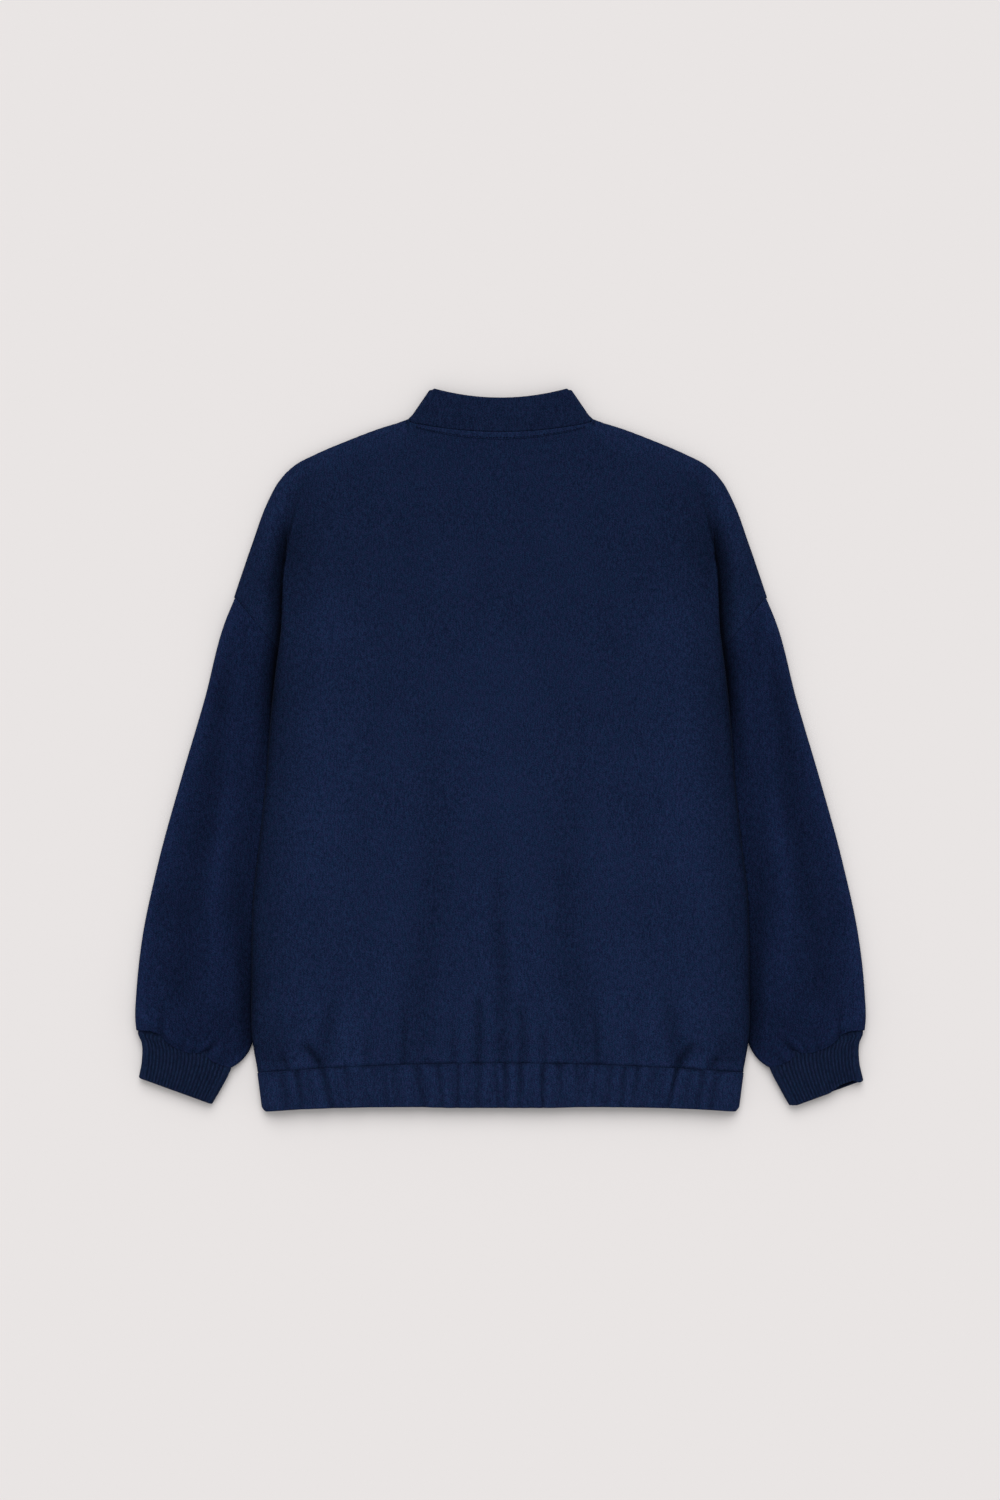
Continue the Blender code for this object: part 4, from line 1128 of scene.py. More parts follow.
@dataclass
class FrontPanel:
    """One front, flat under the back."""

    side: Side
    flat: tuple[float, float] = (0.256, 0.622)
    inset: float = 0.0012
    shoulder_from: float = 0.092
    neck_points: int = 40
    shoulder_count: int = 50
    rows_above: int = 40
    rows_below: int = 50
    fold_clear: float = 0.009
    tucked: float = 0.007

    def top(self) -> np.ndarray:
        """Plan points of the neckline and the shoulder.

        Returns:
            Points from centre front to the armhole.
        """
        line = PLAN.shoulder_line
        neck = [PLAN.front_neck(angle) for angle in np.linspace(0, 90, self.neck_points)]
        x = np.linspace(self.shoulder_from, PLAN.tip[0] - self.inset, self.shoulder_count)
        return np.vstack([neck, np.column_stack([x, np.interp(x, line[:, 0], line[:, 1]) - self.inset])])

    def wall(self) -> Wall:
        """Wall of the panel.

        Returns:
            Its wall, on its own side.
        """
        gap, top, under = PLAN.seam_gap / 2, self.top(), PLAN.underarm
        seam = np.array(PLAN.tip) - np.array(under)
        edge_gap = gap * np.linalg.norm(seam) / seam[1]
        tip_x = top[-1, 0]
        rows = []
        for p in np.linspace(0, 1, self.rows_above):
            x = mix(gap, mix(tip_x, under[0], p) - edge_gap, top[:, 0] / tip_x)
            rows.append(np.column_stack([x, mix(top[:, 1], under[1], p)]))
        for q in np.linspace(0, 1, self.rows_below)[1:]:
            y = mix(under[1], float(PLAN.hem_seam_y(PLAN.side_x)), q)
            fold_x = float(x_at(PLAN.fold_line, y))
            edge = min(float(x_at(PLAN.underarm_line, y)), fold_x - self.fold_clear) - self.tucked
            x = mix(gap, edge, top[:, 0] / tip_x)
            rows.append(np.column_stack([x, mix(under[1], PLAN.hem_seam_y(x) + gap, q)]))
        plan = np.array(rows)[:, ::-1]
        grid = np.concatenate([plan, np.full(plan.shape[:2] + (1,), PLAN.floor_layer)], axis=-1)
        return Wall(grid if self.side is Side.RIGHT else mirrored(grid), PLAN.cloth, lips=tuple(Edge))

    def dress(self, material: bpy.types.Material) -> bpy.types.Object:
        """Build the front, attach it to the body and hide the solid that it replaces.

        Args:
            material: Its finish.

        Returns:
            The piece.
        """
        node = f"front_{self.side.word}"
        return dress_wall(self.wall(), node + "_cloth", node, self.flat, material)


@dataclass
class Sleeve:
    """One sleeve tube, full above the cuff, its inner side tucked under the body.

    A lobe is a place across the sleeve and how far its end hangs past the seam there. A fold
    is a place across it, a breadth, a depth and how far up from the cuff it runs.
    """

    side: Side
    flat: tuple[float, float] = (0.345, 0.450)
    length: float = 0.40
    outer_cap: float = 0.011
    inner_cap: float = 0.004
    outer_turn: tuple[float, float, int] = (-60, 75, 14)
    inner_turn: tuple[float, float, int] = (70, -70, 9)
    under_lap: float = 0.004
    under_points: int = 26
    over_points: int = 60
    rings: tuple[float, int, int] = (0.86, 80, 42)
    overarm_slope: float = 0.0048
    slope_starts: tuple[float, float] = (0.02, 0.22)
    slope_ends: tuple[float, float] = (0.93, 1.0)
    slope_reach: float = 0.55
    tucked_width: float = 0.045
    least_visible: float = 0.05
    tucked_range: tuple[float, float] = (0.0, 0.02)
    waviness: tuple = ((11, 0.0004, 0.12), (21, 0.00004, 0.04))
    puff: float = 0.0022
    puff_starts: tuple[float, float] = (0.0, 0.010)
    puff_ends: tuple[float, float] = (0.012, 0.060)
    puff_edges: tuple[float, float] = (0.02, 0.03)
    fold_start: float = 0.004
    fold_lean: float = 0.05
    lean_turns: float = 20
    lean_length: float = 0.04
    lobe_shares: tuple[float, float] = (0.90, 1.0)
    lobe_heights: tuple[float, float] = (0.0030, 0.0070)
    lobes: tuple = ((0.00, 0.0000), (0.06, -0.0026), (0.13, -0.0050), (0.20, -0.0052), (0.26, -0.0036),
                    (0.31, -0.0008), (0.37, 0.0012), (0.46, 0.0022), (0.55, 0.0018), (0.63, -0.0008),
                    (0.68, -0.0030), (0.73, -0.0016), (0.80, 0.0010), (0.88, 0.0020), (0.95, 0.0010),
                    (1.00, 0.0000))
    folds: tuple = ((0.25, 0.046, 0.0022, 0.045), (0.70, 0.034, 0.0036, 0.034), (0.48, 0.035, 0.0010, 0.030),
                    (0.13, 0.025, 0.0008, 0.022), (0.60, 0.024, 0.0010, 0.020), (0.86, 0.028, 0.0009, 0.028))
    creases: tuple = (
        Crease((0.2475, 0.128), (0.2475, 0.066), 0.0022, 0.0007),
        Crease((0.2440, 0.122), (0.2435, 0.080), 0.0020, 0.0006),
        Crease((0.330, -0.120), (0.325, -0.225), 0.016, 0.0006))
    furrows: tuple = (
        Furrow(((0.2650, 0.1100), (0.2693, 0.0763), (0.2789, -0.0581), (0.3029, -0.1733), (0.3077, -0.2400)),
               0.0135, 0.0010, 0.14, 0.08),
        Furrow(((0.2645, -0.0200), (0.2741, -0.1349), (0.2645, -0.2250)), 0.0110, -0.0004, -0.11, 0.08),
        Furrow(((0.2520, -0.0900), (0.2482, -0.1733), (0.2501, -0.2650)), 0.0085, 0.0006, 0.08, 0.07),
        Furrow(((0.3330, -0.1500), (0.3330, -0.2600)), 0.0090, -0.0003, -0.06, 0.06))
    hollow: float = 0.0032
    shaded_from: float = 0.003
    # Painted highlight along the outer rim and painted shade towards the body's side.
    rim_light: float = 0.12
    rim_place: tuple[float, float] = (0.70, 1.0)
    inner_dark: float = 0.06
    inner_place: tuple[float, float] = (0.1, 0.6)

    def shade(self, x: np.ndarray, y: np.ndarray) -> np.ndarray:
        """Painted highlight at the sleeve's outer edge, painted shade towards the body's side, along its
        furrows and beside the side fold.

        Args:
            x: Plan x of the points.
            y: Plan y of the points.

        Returns:
            Factors around 1.
        """
        edge, outer = x_at(PLAN.fold_line, y), x_at(PLAN.overarm_line, y)
        place = np.clip((np.abs(x) - edge) / (outer - edge), 0, 1)
        tone = 1 + self.rim_light * smooth(place, *self.rim_place)
        tone = tone - self.inner_dark * (1 - smooth(place, *self.inner_place))
        for fold in self.furrows:
            tone = tone * fold.shade(np.abs(x), y)
        return FOLD.shade(x, y) * tone

    def top(self, outer: np.ndarray, across: np.ndarray, width: float, w: np.ndarray,
            share: float) -> np.ndarray:
        """Height of the upper layer along one ring.

        Args:
            outer: Plan point of the overarm edge.
            across: Unit direction from it to the underarm.
            width: Distance between the two.
            w: Distances from the overarm edge.
            share: Ring's place from the armhole, 0, to the cuff, 1.

        Returns:
            Middle heights.
        """
        plan = outer + across * np.asarray(w)[..., None]
        x, y = plan[..., 0], plan[..., 1]
        visible = np.clip(width - self.tucked_width * (1 - share), self.least_visible, None)
        slope = self.overarm_slope * smooth(share, *self.slope_starts) * (1 - smooth(share, *self.slope_ends))
        height = sleeve_height(x, y) - slope * (1 - smooth(w, 0.0, self.slope_reach * visible))
        height = height - self.gathered(w / width, (1 - share) * self.length)
        height = height + self.fullness(w, width, (1 - share) * self.length)
        for fold in self.furrows + self.creases:
            height = height + fold.relief(x, y)
        tucked = smooth(np.abs(x) - x_at(PLAN.fold_line, y), *self.tucked_range)
        uneven = 0.0
        for seed, depth, length in self.waviness:
            uneven = uneven + depth * waves(x, y, seed + self.side.value, length)
        return height + uneven * tucked

    def gathered(self, place: np.ndarray, end: float) -> np.ndarray:
        """Depth of the gathers that the cuff draws into the sleeve.

        Args:
            place: Places across the sleeve, from 0 at the overarm edge to 1 at the underarm.
            end: Distance from the sleeve's end.

        Returns:
            Depths.
        """
        depths = np.zeros_like(place)
        for at, spread, depth, reach in self.folds:
            lean = self.fold_lean * np.sin(at * self.lean_turns) * end / self.lean_length
            faded = 1 - smooth(end, self.fold_start, reach)
            depths = depths + depth * np.exp(-((place - at - lean) / spread) ** 2) * faded
        return depths

    def fullness(self, w: np.ndarray, width: float, end: float) -> np.ndarray:
        """How far the cloth puffs up just above the cuff.

        Args:
            w: Distances from the overarm edge.
            width: Distance between the sleeve's two edges.
            end: Distance from the sleeve's end.

        Returns:
            Heights.
        """
        puff = self.puff * smooth(end, *self.puff_starts) * (1 - smooth(end, *self.puff_ends))
        return puff * smooth(w, 0.0, self.puff_edges[0]) * smooth(width - w, 0.0, self.puff_edges[1])

    def ring(self, share: float) -> tuple[np.ndarray, np.ndarray]:
        """One ring of the tube.

        Args:
            share: Its place from the armhole, 0, to the cuff, 1.

        Returns:
            Middle points round the ring and its direction towards the cuff.
        """
        outer, inner = along(PLAN.overarm_line, share), along(PLAN.underarm_line, share)
        across = inner - outer
        width = float(np.linalg.norm(across))
        across = across / width
        down = np.array([-across[1], across[0]])
        down = down if down[1] < 0 else -down
        half, low = PLAN.cloth / 2, PLAN.floor_layer
        start, stop = self.outer_cap + half, width - self.inner_cap - half
        ends = self.top(outer, across, width, np.array([start, stop]), share)
        outer_turn = np.radians(np.linspace(*self.outer_turn))
        inner_turn = np.radians(np.linspace(*self.inner_turn))
        under = np.linspace(stop, start - self.under_lap, self.under_points)
        over = np.linspace(start, stop, self.over_points)
        w = np.concatenate([under, half + self.outer_cap * (1 - np.cos(outer_turn)), over,
                            width - half - self.inner_cap * (1 - np.cos(inner_turn))])
        z = np.concatenate([np.full(len(under), low), mix(low, ends[0], (1 + np.sin(outer_turn)) / 2),
                            self.top(outer, across, width, over, share),
                            mix(low, ends[1], (1 + np.sin(inner_turn)) / 2)])
        shift = PLAN.seam_gap / 2 * ((share == 0.0) - (share == 1.0))
        lobes = np.interp(w / width, [at for at, reach in self.lobes], [reach for at, reach in self.lobes])
        lobes = lobes * smooth(share, *self.lobe_shares) * smooth(z, *self.lobe_heights)
        plan = outer + across * w[:, None] + down * (shift + lobes)[:, None]
        return np.column_stack([plan, z]), np.array([down[0], down[1], 0.0])

    def wall(self) -> Wall:
        """Wall of the tube.

        Returns:
            Its wall, on its own side, with ends cut square.
        """
        split, upper, lower = self.rings
        shares = np.r_[np.linspace(0, split, upper), np.linspace(split, 1.0, lower)[1:]]
        rings = [self.ring(float(share)) for share in shares]
        grid = np.array([ring for ring, _ in rings])[:, ::-1]
        first, last = rings[0][1], rings[-1][1]
        if self.side is Side.LEFT:
            grid = mirrored(grid)
            first, last = first * (-1, 1, 1), last * (-1, 1, 1)
        shade = np.where(grid[..., 2] > self.shaded_from, self.shade(grid[..., 0], grid[..., 1]), 1.0)
        return Wall(grid, PLAN.cloth, closed=True, shade=shade, hollow=self.hollow,
                    square=[(0, first), (-1, last)])

    def dress(self, material: bpy.types.Material) -> bpy.types.Object:
        """Build the sleeve, attach it to the body and hide the solid that it replaces.

        Args:
            material: Its finish.

        Returns:
            The piece.
        """
        node = f"sleeve_{self.side.word}"
        return dress_wall(self.wall(), node + "_cloth", node, self.flat, material)


@dataclass
class Cuff:
    """Rib-knit cuff, pressed flat, the right one's mouth a little open.

    The points are plan x and y of its outer and inner side at the top, the waist and the
    bottom. Ring numbers count from inside the sleeve to the mouth.
    """

    side: Side
    flat: tuple[float, float] = (0.190, 0.052)
    knit: float = 0.0026
    ribs: int = 48
    points_a_rib: int = 6
    rib_height: float = 0.0008
    rib_sharpness: float = 0.7
    rib_rise: tuple[float, float] = (0.0003, 0.0030)
    rib_rings: tuple[float, float] = (0.0, 5.0)
    rings: int = 30
    tucked: float = 0.0075
    drawn_in: float = 0.0030
    outer_in: float = 0.0020
    inner_in: float = 0.0006
    top_outer: tuple[float, float] = (0.3448, -0.2800)
    waist_outer: tuple[float, float] = (0.3442, -0.2990)
    bottom_outer: tuple[float, float] = (0.3470, -0.3155)
    top_inner: tuple[float, float] = (0.2606, -0.3098)
    waist_inner: tuple[float, float] = (0.2692, -0.3256)
    bottom_inner: tuple[float, float] = (0.2780, -0.3405)
    right_longer: float = 0.0034
    mouth: float = 0.0040
    mouth_rings: tuple[float, float] = (23.0, 29.0)
    upper_heights: tuple[float, float] = (0.0045, 0.0070)
    gape_starts: tuple[float, float] = (0.003, 0.010)
    gape_ends: tuple[float, float] = (0.020, 0.036)
    corner: float = 0.0022
    corner_reach: float = 0.008
    corner_power: float = 1.5
    tone: float = 0.92
    # Strength of the painted shade on the inside seen through the open mouth.
    inside_dark: float = 0.75
    hollow: float = 0.0011

    def gape(self, w: np.ndarray) -> np.ndarray:
        """Where the mouth stands open, by the distance from the outer edge."""
        return smooth(w, *self.gape_starts) * (1 - smooth(w, *self.gape_ends))

    def drawn_back(self, w: np.ndarray, z: np.ndarray, width: float, number: int) -> np.ndarray:
        """How far the points of one ring of the right cuff draw back from the mouth.

        Args:
            w: Distances from the outer edge.
            z: Heights of the points.
            width: Width of the cuff at this ring.
            number: Number of the ring.

        Returns:
            Distances, positive away from the mouth.
        """
        if self.side is Side.LEFT:
            return np.zeros_like(w)
        drawn = self.mouth * self.gape(w) * smooth(z, *self.upper_heights)
        drawn = drawn + self.corner * smooth(w, width - self.corner_reach, width) ** self.corner_power
        return float(smooth(number, *self.mouth_rings)) * drawn

    def inside(self, w: np.ndarray, z: np.ndarray, number: int) -> np.ndarray:
        """Which points of a ring are seen through the open mouth, as shares from 0 to 1."""
        seen = self.mouth_rings[0] <= number < self.rings - 1 and self.side is Side.RIGHT
        return self.gape(w) * (z < self.upper_heights[0]) * seen

    def borders(self) -> tuple[np.ndarray, np.ndarray, np.ndarray]:
        """The cuff's two sides in plan, from inside the sleeve to the mouth.

        Returns:
            Outer line, inner line and unit direction towards the mouth.
        """
        outer0, inner0 = along(PLAN.overarm_line, 1.0), along(PLAN.underarm_line, 1.0)
        across = unit(inner0 - outer0)
        down = np.array([across[1], -across[0]])
        down = down if down[1] < 0 else -down
        longer = down * (self.right_longer if self.side is Side.RIGHT else 0.0)
        outer = [outer0 + across * self.drawn_in - down * self.tucked,
                 outer0 + across * self.outer_in + down * PLAN.seam_gap,
                 self.top_outer, self.waist_outer, self.bottom_outer + longer]
        inner = [inner0 - across * self.drawn_in - down * self.tucked,
                 inner0 - across * self.inner_in + down * PLAN.seam_gap,
                 self.top_inner, self.waist_inner, self.bottom_inner + longer]
        return curve(np.array(outer), self.rings), curve(np.array(inner), self.rings), down

    def section(self, width: float) -> tuple[np.ndarray, np.ndarray]:
        """Section of the flat-pressed tube: two level layers joined by two half rounds.

        Args:
            width: Width of the cuff.

        Returns:
            Distances from the outer edge and heights of the points, from the inner edge under
            the wrist, round the outer edge and back.
        """
        low, top, count = self.knit / 2, PLAN.cuff_top, self.ribs * self.points_a_rib
        radius = (top - low) / 2
        flat = width - self.knit - 2 * radius
        loop = 2 * flat + 2 * math.pi * radius
        at = (np.arange(count) + 0.5) / count * loop
        turn = flat + math.pi * radius
        a = np.where(at < turn, -np.pi / 2 + (at - flat) / radius, np.pi / 2 - (at - turn - flat) / radius)
        parts = [at < flat, at < turn, at < turn + flat]
        start, stop = self.knit / 2 + radius, width - self.knit / 2 - radius
        w = np.select(parts, [stop - at, start - radius * np.cos(a), start + (at - turn)],
                      stop + radius * np.cos(a))
        round_z = (low + top) / 2 + radius * np.sin(a)
        return w, np.select(parts, [low, round_z, top], round_z)

    def wall(self) -> Wall:
        """Wall of the tube, its ribs in the outer points.

        Returns:
            Its wall, on its own side.
        """
        outer_line, inner_line, down = self.borders()
        turns = np.arange(self.ribs * self.points_a_rib) / self.points_a_rib
        rib = (0.5 + 0.5 * np.cos(2 * np.pi * turns)) ** self.rib_sharpness
        low, high = self.rib_rise
        rows, lift, shade = [], [], []
        for number, (outer, inner) in enumerate(zip(outer_line, inner_line)):
            width = float(np.linalg.norm(inner - outer))
            w, z = self.section(width)
            plan = outer + (inner - outer) / width * w[:, None]
            plan = plan - down * self.drawn_back(w, z, width, number)[:, None]
            rows.append(np.column_stack([plan, z]))
            pressed = smooth(z, self.knit / 2 + low, self.knit / 2 + high)
            lift.append(self.rib_height * rib * pressed * float(smooth(number, *self.rib_rings)))
            # Painted shade on the inside that shows through the open mouth.
            shade.append(self.tone * (1 - self.inside_dark * self.inside(w, z, number)))
        grid, lift, shade = np.array(rows)[:, ::-1], np.array(lift)[:, ::-1], np.array(shade)[:, ::-1]
        if self.side is Side.LEFT:
            grid, lift, shade = mirrored(grid), lift[:, ::-1], shade[:, ::-1]
        return Wall(grid, self.knit, closed=True, lift=lift, shade=shade, hollow=self.hollow, spread=(1, 3))

    def dress(self, material: bpy.types.Material) -> bpy.types.Object:
        """Build the cuff, attach it to the body and hide the solid that it replaces.

        Args:
            material: Its finish.

        Returns:
            The piece.
        """
        node = f"cuff_{self.side.word}"
        return dress_wall(self.wall(), node + "_knit", node, self.flat, material)


@dataclass
class Waistband:
    """Elastic casing, gathered on the back's side.

    A gather is its x at the seam, its x at the hem and its depth. The turns make the gathers
    sway, widen and fade unevenly.
    """

    flat: tuple[float, float] = (0.985, 0.046)
    casing: float = 0.0036
    top: float = 0.0102
    crest: float = 0.0024
    side_top: float = 0.2338
    side_hem: float = 0.2290
    side_round: float = 0.0185
    inset: float = 0.2150
    corner: float = 0.0026
    corner_range: tuple[float, float] = (0.86, 1.0)
    front_points: int = 50
    back_points: int = 330
    side_arc: tuple[float, float, int] = (-85, 80, 22)
    rows: int = 24
    gathers: tuple = (
        (-0.196, -0.195, 0.0020), (-0.172, -0.160, 0.0024), (-0.149, -0.146, 0.0007),
        (-0.131, -0.129, 0.0012), (-0.114, -0.110, 0.0010), (-0.104, -0.102, 0.0010),
        (-0.078, -0.075, 0.0017), (-0.060, -0.056, 0.0011), (-0.042, -0.041, 0.0019),
        (-0.020, -0.020, 0.0017), (-0.003, -0.003, 0.0014), (0.004, 0.004, 0.0022),
        (0.018, 0.021, 0.0018), (0.041, 0.042, 0.0015), (0.056, 0.058, 0.0006),
        (0.072, 0.076, 0.0018), (0.091, 0.091, 0.0010), (0.107, 0.106, 0.0010),
        (0.119, 0.117, 0.0008), (0.131, 0.129, 0.0013), (0.150, 0.147, 0.0007),
        (0.171, 0.161, 0.0024), (0.194, 0.192, 0.0018))
    gather_half: float = 0.0034
    gather_change: float = 0.35
    lean: float = 0.8
    sway: float = 0.0012
    hem_strength: tuple[float, float] = (0.78, 0.22)
    turns: tuple[float, float, float, float] = (3.1, 1.7, 2.3, 1.9)
    ridge: float = 0.0005
    ridge_seed: int = 31
    ridge_length: float = 0.022
    ridge_drift: float = 0.012
    bow: float = 0.0008
    # Painted light and shade: tone makes the band lighter, as the back is towards the hem; seam_dark is
    # painted shade in the seam's groove and side_dark painted shade towards the sides.
    tone: float = 1.09
    side_dark: float = 0.12
    side_range: tuple[float, float] = (0.185, 0.212)
    seam_dark: float = 0.26
    seam_half: float = 0.0018
    hollow: float = 0.0032

    def pressed(self, back: np.ndarray, v: float) -> np.ndarray:
        """Depth of the gathers along one row of the back's side.

        Args:
            back: x of the points at the seam.
            v: From 0 at the seam to 1 at the hem.

        Returns:
            Depths.
        """
        depths = np.zeros_like(back)
        steady, varied = self.hem_strength
        down, across, widen, fade = self.turns
        for number, (at, _, depth) in enumerate(self.gathers):
            sway = self.sway * math.sin(down * v + across * number)
            half = self.gather_half * (1 + self.gather_change * math.sin(widen * number))
            strength = mix(1.0, steady + varied * math.cos(fade * number), v)
            depths += depth * strength * np.exp(-((back - at - sway) / half) ** 2)
        return depths

    def row(self, v: float) -> tuple[np.ndarray, np.ndarray]:
        """One row of the band, from centre front round the back to centre front.

        Args:
            v: From 0 at the seam to 1 at the hem.

        Returns:
            Middle points and how far the outer face is lifted there.
        """
        low, gap = self.casing / 2, PLAN.seam_gap / 2
        radius = (self.top - low) / 2
        front = np.linspace(gap, self.inset, self.front_points)
        side = np.radians(np.linspace(*self.side_arc))
        back = np.linspace(self.inset, -self.inset, self.back_points)
        side_x = mix(self.side_top, self.side_hem, v) - low - self.corner * smooth(v, *self.corner_range)
        scale = mix(1.0, (self.side_hem - self.side_round) / self.inset, v)
        arc_x = side_x - (side_x - self.inset * scale) * (1 - np.cos(side))
        arc_z = (low + self.top) / 2 + radius * np.sin(side)
        lean = np.interp(back, [g[0] for g in self.gathers], [g[1] - g[0] for g in self.gathers])
        front = front * np.where(front > gap, scale, 1.0)
        x = np.concatenate([front, arc_x, back * scale + v * lean * self.lean, -arc_x[::-1], -front[::-1]])
        level, flat = np.full(self.front_points, low), np.zeros(self.front_points)
        z = np.concatenate([level, arc_z, np.full(self.back_points, self.top), arc_z[::-1], level])
        drift = np.full_like(back, v * self.ridge_drift)
        crest = self.crest + self.bow * math.sin(math.pi * v)
        ridge = self.ridge * waves(back, drift, self.ridge_seed, self.ridge_length)
        ends = crest * smooth(np.degrees(side), 0, self.side_arc[1])
        lift = np.concatenate([flat, ends, crest + ridge - self.pressed(back, v), ends[::-1], flat])
        return np.column_stack([x, mix(PLAN.hem_seam_y(x) - gap, PLAN.hem_y(x), v), z]), lift

    def shade(self, x: np.ndarray, y: np.ndarray) -> np.ndarray:
        """Painted light and shade: the band lighter overall, dark in the groove at the seam and towards the
        sides.

        Args:
            x: Plan x of the points.
            y: Plan y of the points.

        Returns:
            Factors around 1.
        """
        seam = np.exp(-((PLAN.hem_seam_y(x) - y) / self.seam_half) ** 2)
        shade = self.tone * (1 - self.seam_dark * PLAN.pulled(x) * seam)
        return shade * (1 - self.side_dark * smooth(np.abs(x), *self.side_range))

    def wall(self) -> Wall:
        """Wall from centre front round the back.

        Returns:
            The band's wall.
        """
        rows = [self.row(float(v)) for v in np.linspace(0, 1, self.rows)]
        grid = np.array([points for points, lift in rows])[:, ::-1]
        lift = np.array([lift for points, lift in rows])[:, ::-1]
        return Wall(grid, self.casing, lift=lift, lips=tuple(Edge), spread=(1, 4), hollow=self.hollow,
                    shade=self.shade(grid[..., 0], grid[..., 1]))

    def dress(self, material: bpy.types.Material) -> bpy.types.Object:
        """Build the band, attach it to the body and hide the solid that it replaces.

        Args:
            material: Its finish.

        Returns:
            The piece.
        """
        return dress_wall(self.wall(), "waistband_cloth", "waistband", self.flat, material)


@dataclass
class Collar:
    """Stand collar, pressed flat along its two side folds."""

    flat: tuple[float, float] = (0.466, 0.040)
    thickness: float = 0.0030
    above_back: float = 0.0004
    corner: tuple[float, float] = (0.0683, 0.3475)
    corner_round: float = 0.0018
    top_y: float = 0.3380
    top_rise: float = 0.0100
    front_arc: tuple[float, float, int] = (0, 80, 44)
    front_top: float = 0.2700
    front_corner_y: float = 0.3465
    front_in: float = 0.003
    front_lift: float = 0.3
    lift_angles: tuple[float, float] = (60, 95)
    side_arc: tuple[float, float, int] = (-50, 60, 12)
    side_depth: float = 0.004
    side_low_y: float = 0.3152
    side_high_y: float = 0.3470
    back_shares: tuple[float, float, int] = (0.95, 0.0, 50)
    rows: int = 20
    flare: float = 0.0016
    flare_height: float = 0.22
    flare_reach: float = 0.012
    crown: float = 0.0009
    crown_from: float = 0.006
    uneven: float = 0.00025
    uneven_seed: int = 41
    uneven_length: float = 0.05
    # Painted shade: the collar darker than the back, most along its lower edge.
    tone: tuple[float, float] = (0.82, 0.90)

    def front(self) -> list:
        """The part that lies on the fronts, from centre front to the side fold.

        Returns:
            For each point its plan place on the lower and the upper edge, and its height.
        """
        low, top, gap = self.thickness / 2, PLAN.back_height + self.above_back, PLAN.seam_gap / 2
        top_x = self.corner[0] - self.thickness / 2 - self.front_in
        points = []
        for angle in np.linspace(*self.front_arc):
            a = math.radians(angle)
            lower = PLAN.front_neck(angle, 4 * gap)
            drop = (self.front_corner_y - self.front_top) * math.cos(a)
            first = angle == self.front_arc[0]
            lower_x, upper_x = (gap, gap) if first else (lower[0], top_x * math.sin(a))
            height = low + (top - low) * self.front_lift * float(smooth(angle, *self.lift_angles))
            points.append([lower_x, lower[1], upper_x, self.front_corner_y - drop, height])
        return points

    def fold(self) -> list:
        """The side fold.

        Returns:
            Its points, as in front.
        """
        low, top = self.thickness / 2, PLAN.back_height + self.above_back
        bottom_x, top_x = PLAN.neck_half - self.thickness / 2, self.corner[0] - self.thickness / 2
        points = []
        for a in np.radians(np.linspace(*self.side_arc)):
            inward = self.side_depth * (1 - math.cos(a))
            height = (low + top) / 2 + (top - low) / 2 * math.sin(a)
            points.append([bottom_x - inward, self.side_low_y, top_x - inward,
                           self.side_high_y - self.corner_round, height])
        return points

    def back(self) -> list:
        """The part that lies on the back, from the side fold to centre back.

        Returns:
            Its points, as in front.
        """
        bottom_x, top_x = PLAN.neck_half - self.thickness / 2, self.corner[0] - self.thickness / 2
        points = []
        for share in np.linspace(*self.back_shares):
            lower, upper = bottom_x * share, top_x * share
            rounded = self.corner_round * math.exp(-(((top_x - upper) / self.corner_round) ** 2))
            points.append([lower, PLAN.neck_y(lower) + PLAN.seam_gap / 2, upper,
                           self.top_y + self.top_rise * (upper / self.corner[0]) ** 2 - rounded,
                           PLAN.back_height + self.above_back])
        return points

    def wall(self) -> Wall:
        """Wall from centre front round the back.

        Returns:
            The collar's wall.
        """
        half = np.array(self.front() + self.fold() + self.back())
        line = np.concatenate([half, (half * np.array([-1, 1, -1, 1, 1]))[-2::-1]])
        lower, upper, height = line[:, :2], line[:, 2:4], line[:, 4]
        bottom_x = PLAN.neck_half - self.thickness / 2
        rows, lift = [], []
        for v in np.linspace(0, 1, self.rows):
            plan = mix(lower, upper, v)
            flare = self.flare * (1 - smooth(v, 0.0, self.flare_height))
            flare = flare * smooth(np.abs(plan[:, 0]), bottom_x - self.flare_reach, bottom_x)
            plan[:, 0] += np.sign(plan[:, 0]) * flare
            rows.append(np.column_stack([plan, height]))
            uneven = self.uneven * waves(plan[:, 0], plan[:, 1], self.uneven_seed, self.uneven_length)
            lift.append((self.crown * math.sin(math.pi * v) + uneven) * (height > self.crown_from))
        # Painted shade, darkest along the lower edge at the seam.
        shade = np.linspace(self.tone[0], self.tone[1], self.rows)[:, None] * np.ones(len(height))
        return Wall(np.array(rows)[::-1], self.thickness, lift=np.array(lift)[::-1], lips=tuple(Edge),
                    shade=shade[::-1])

    def dress(self, material: bpy.types.Material) -> bpy.types.Object:
        """Build the collar, attach it to the body and hide the solid that it replaces.

        Args:
            material: Its finish.

        Returns:
            The piece.
        """
        return dress_wall(self.wall(), "collar_cloth", "collar", self.flat, material)


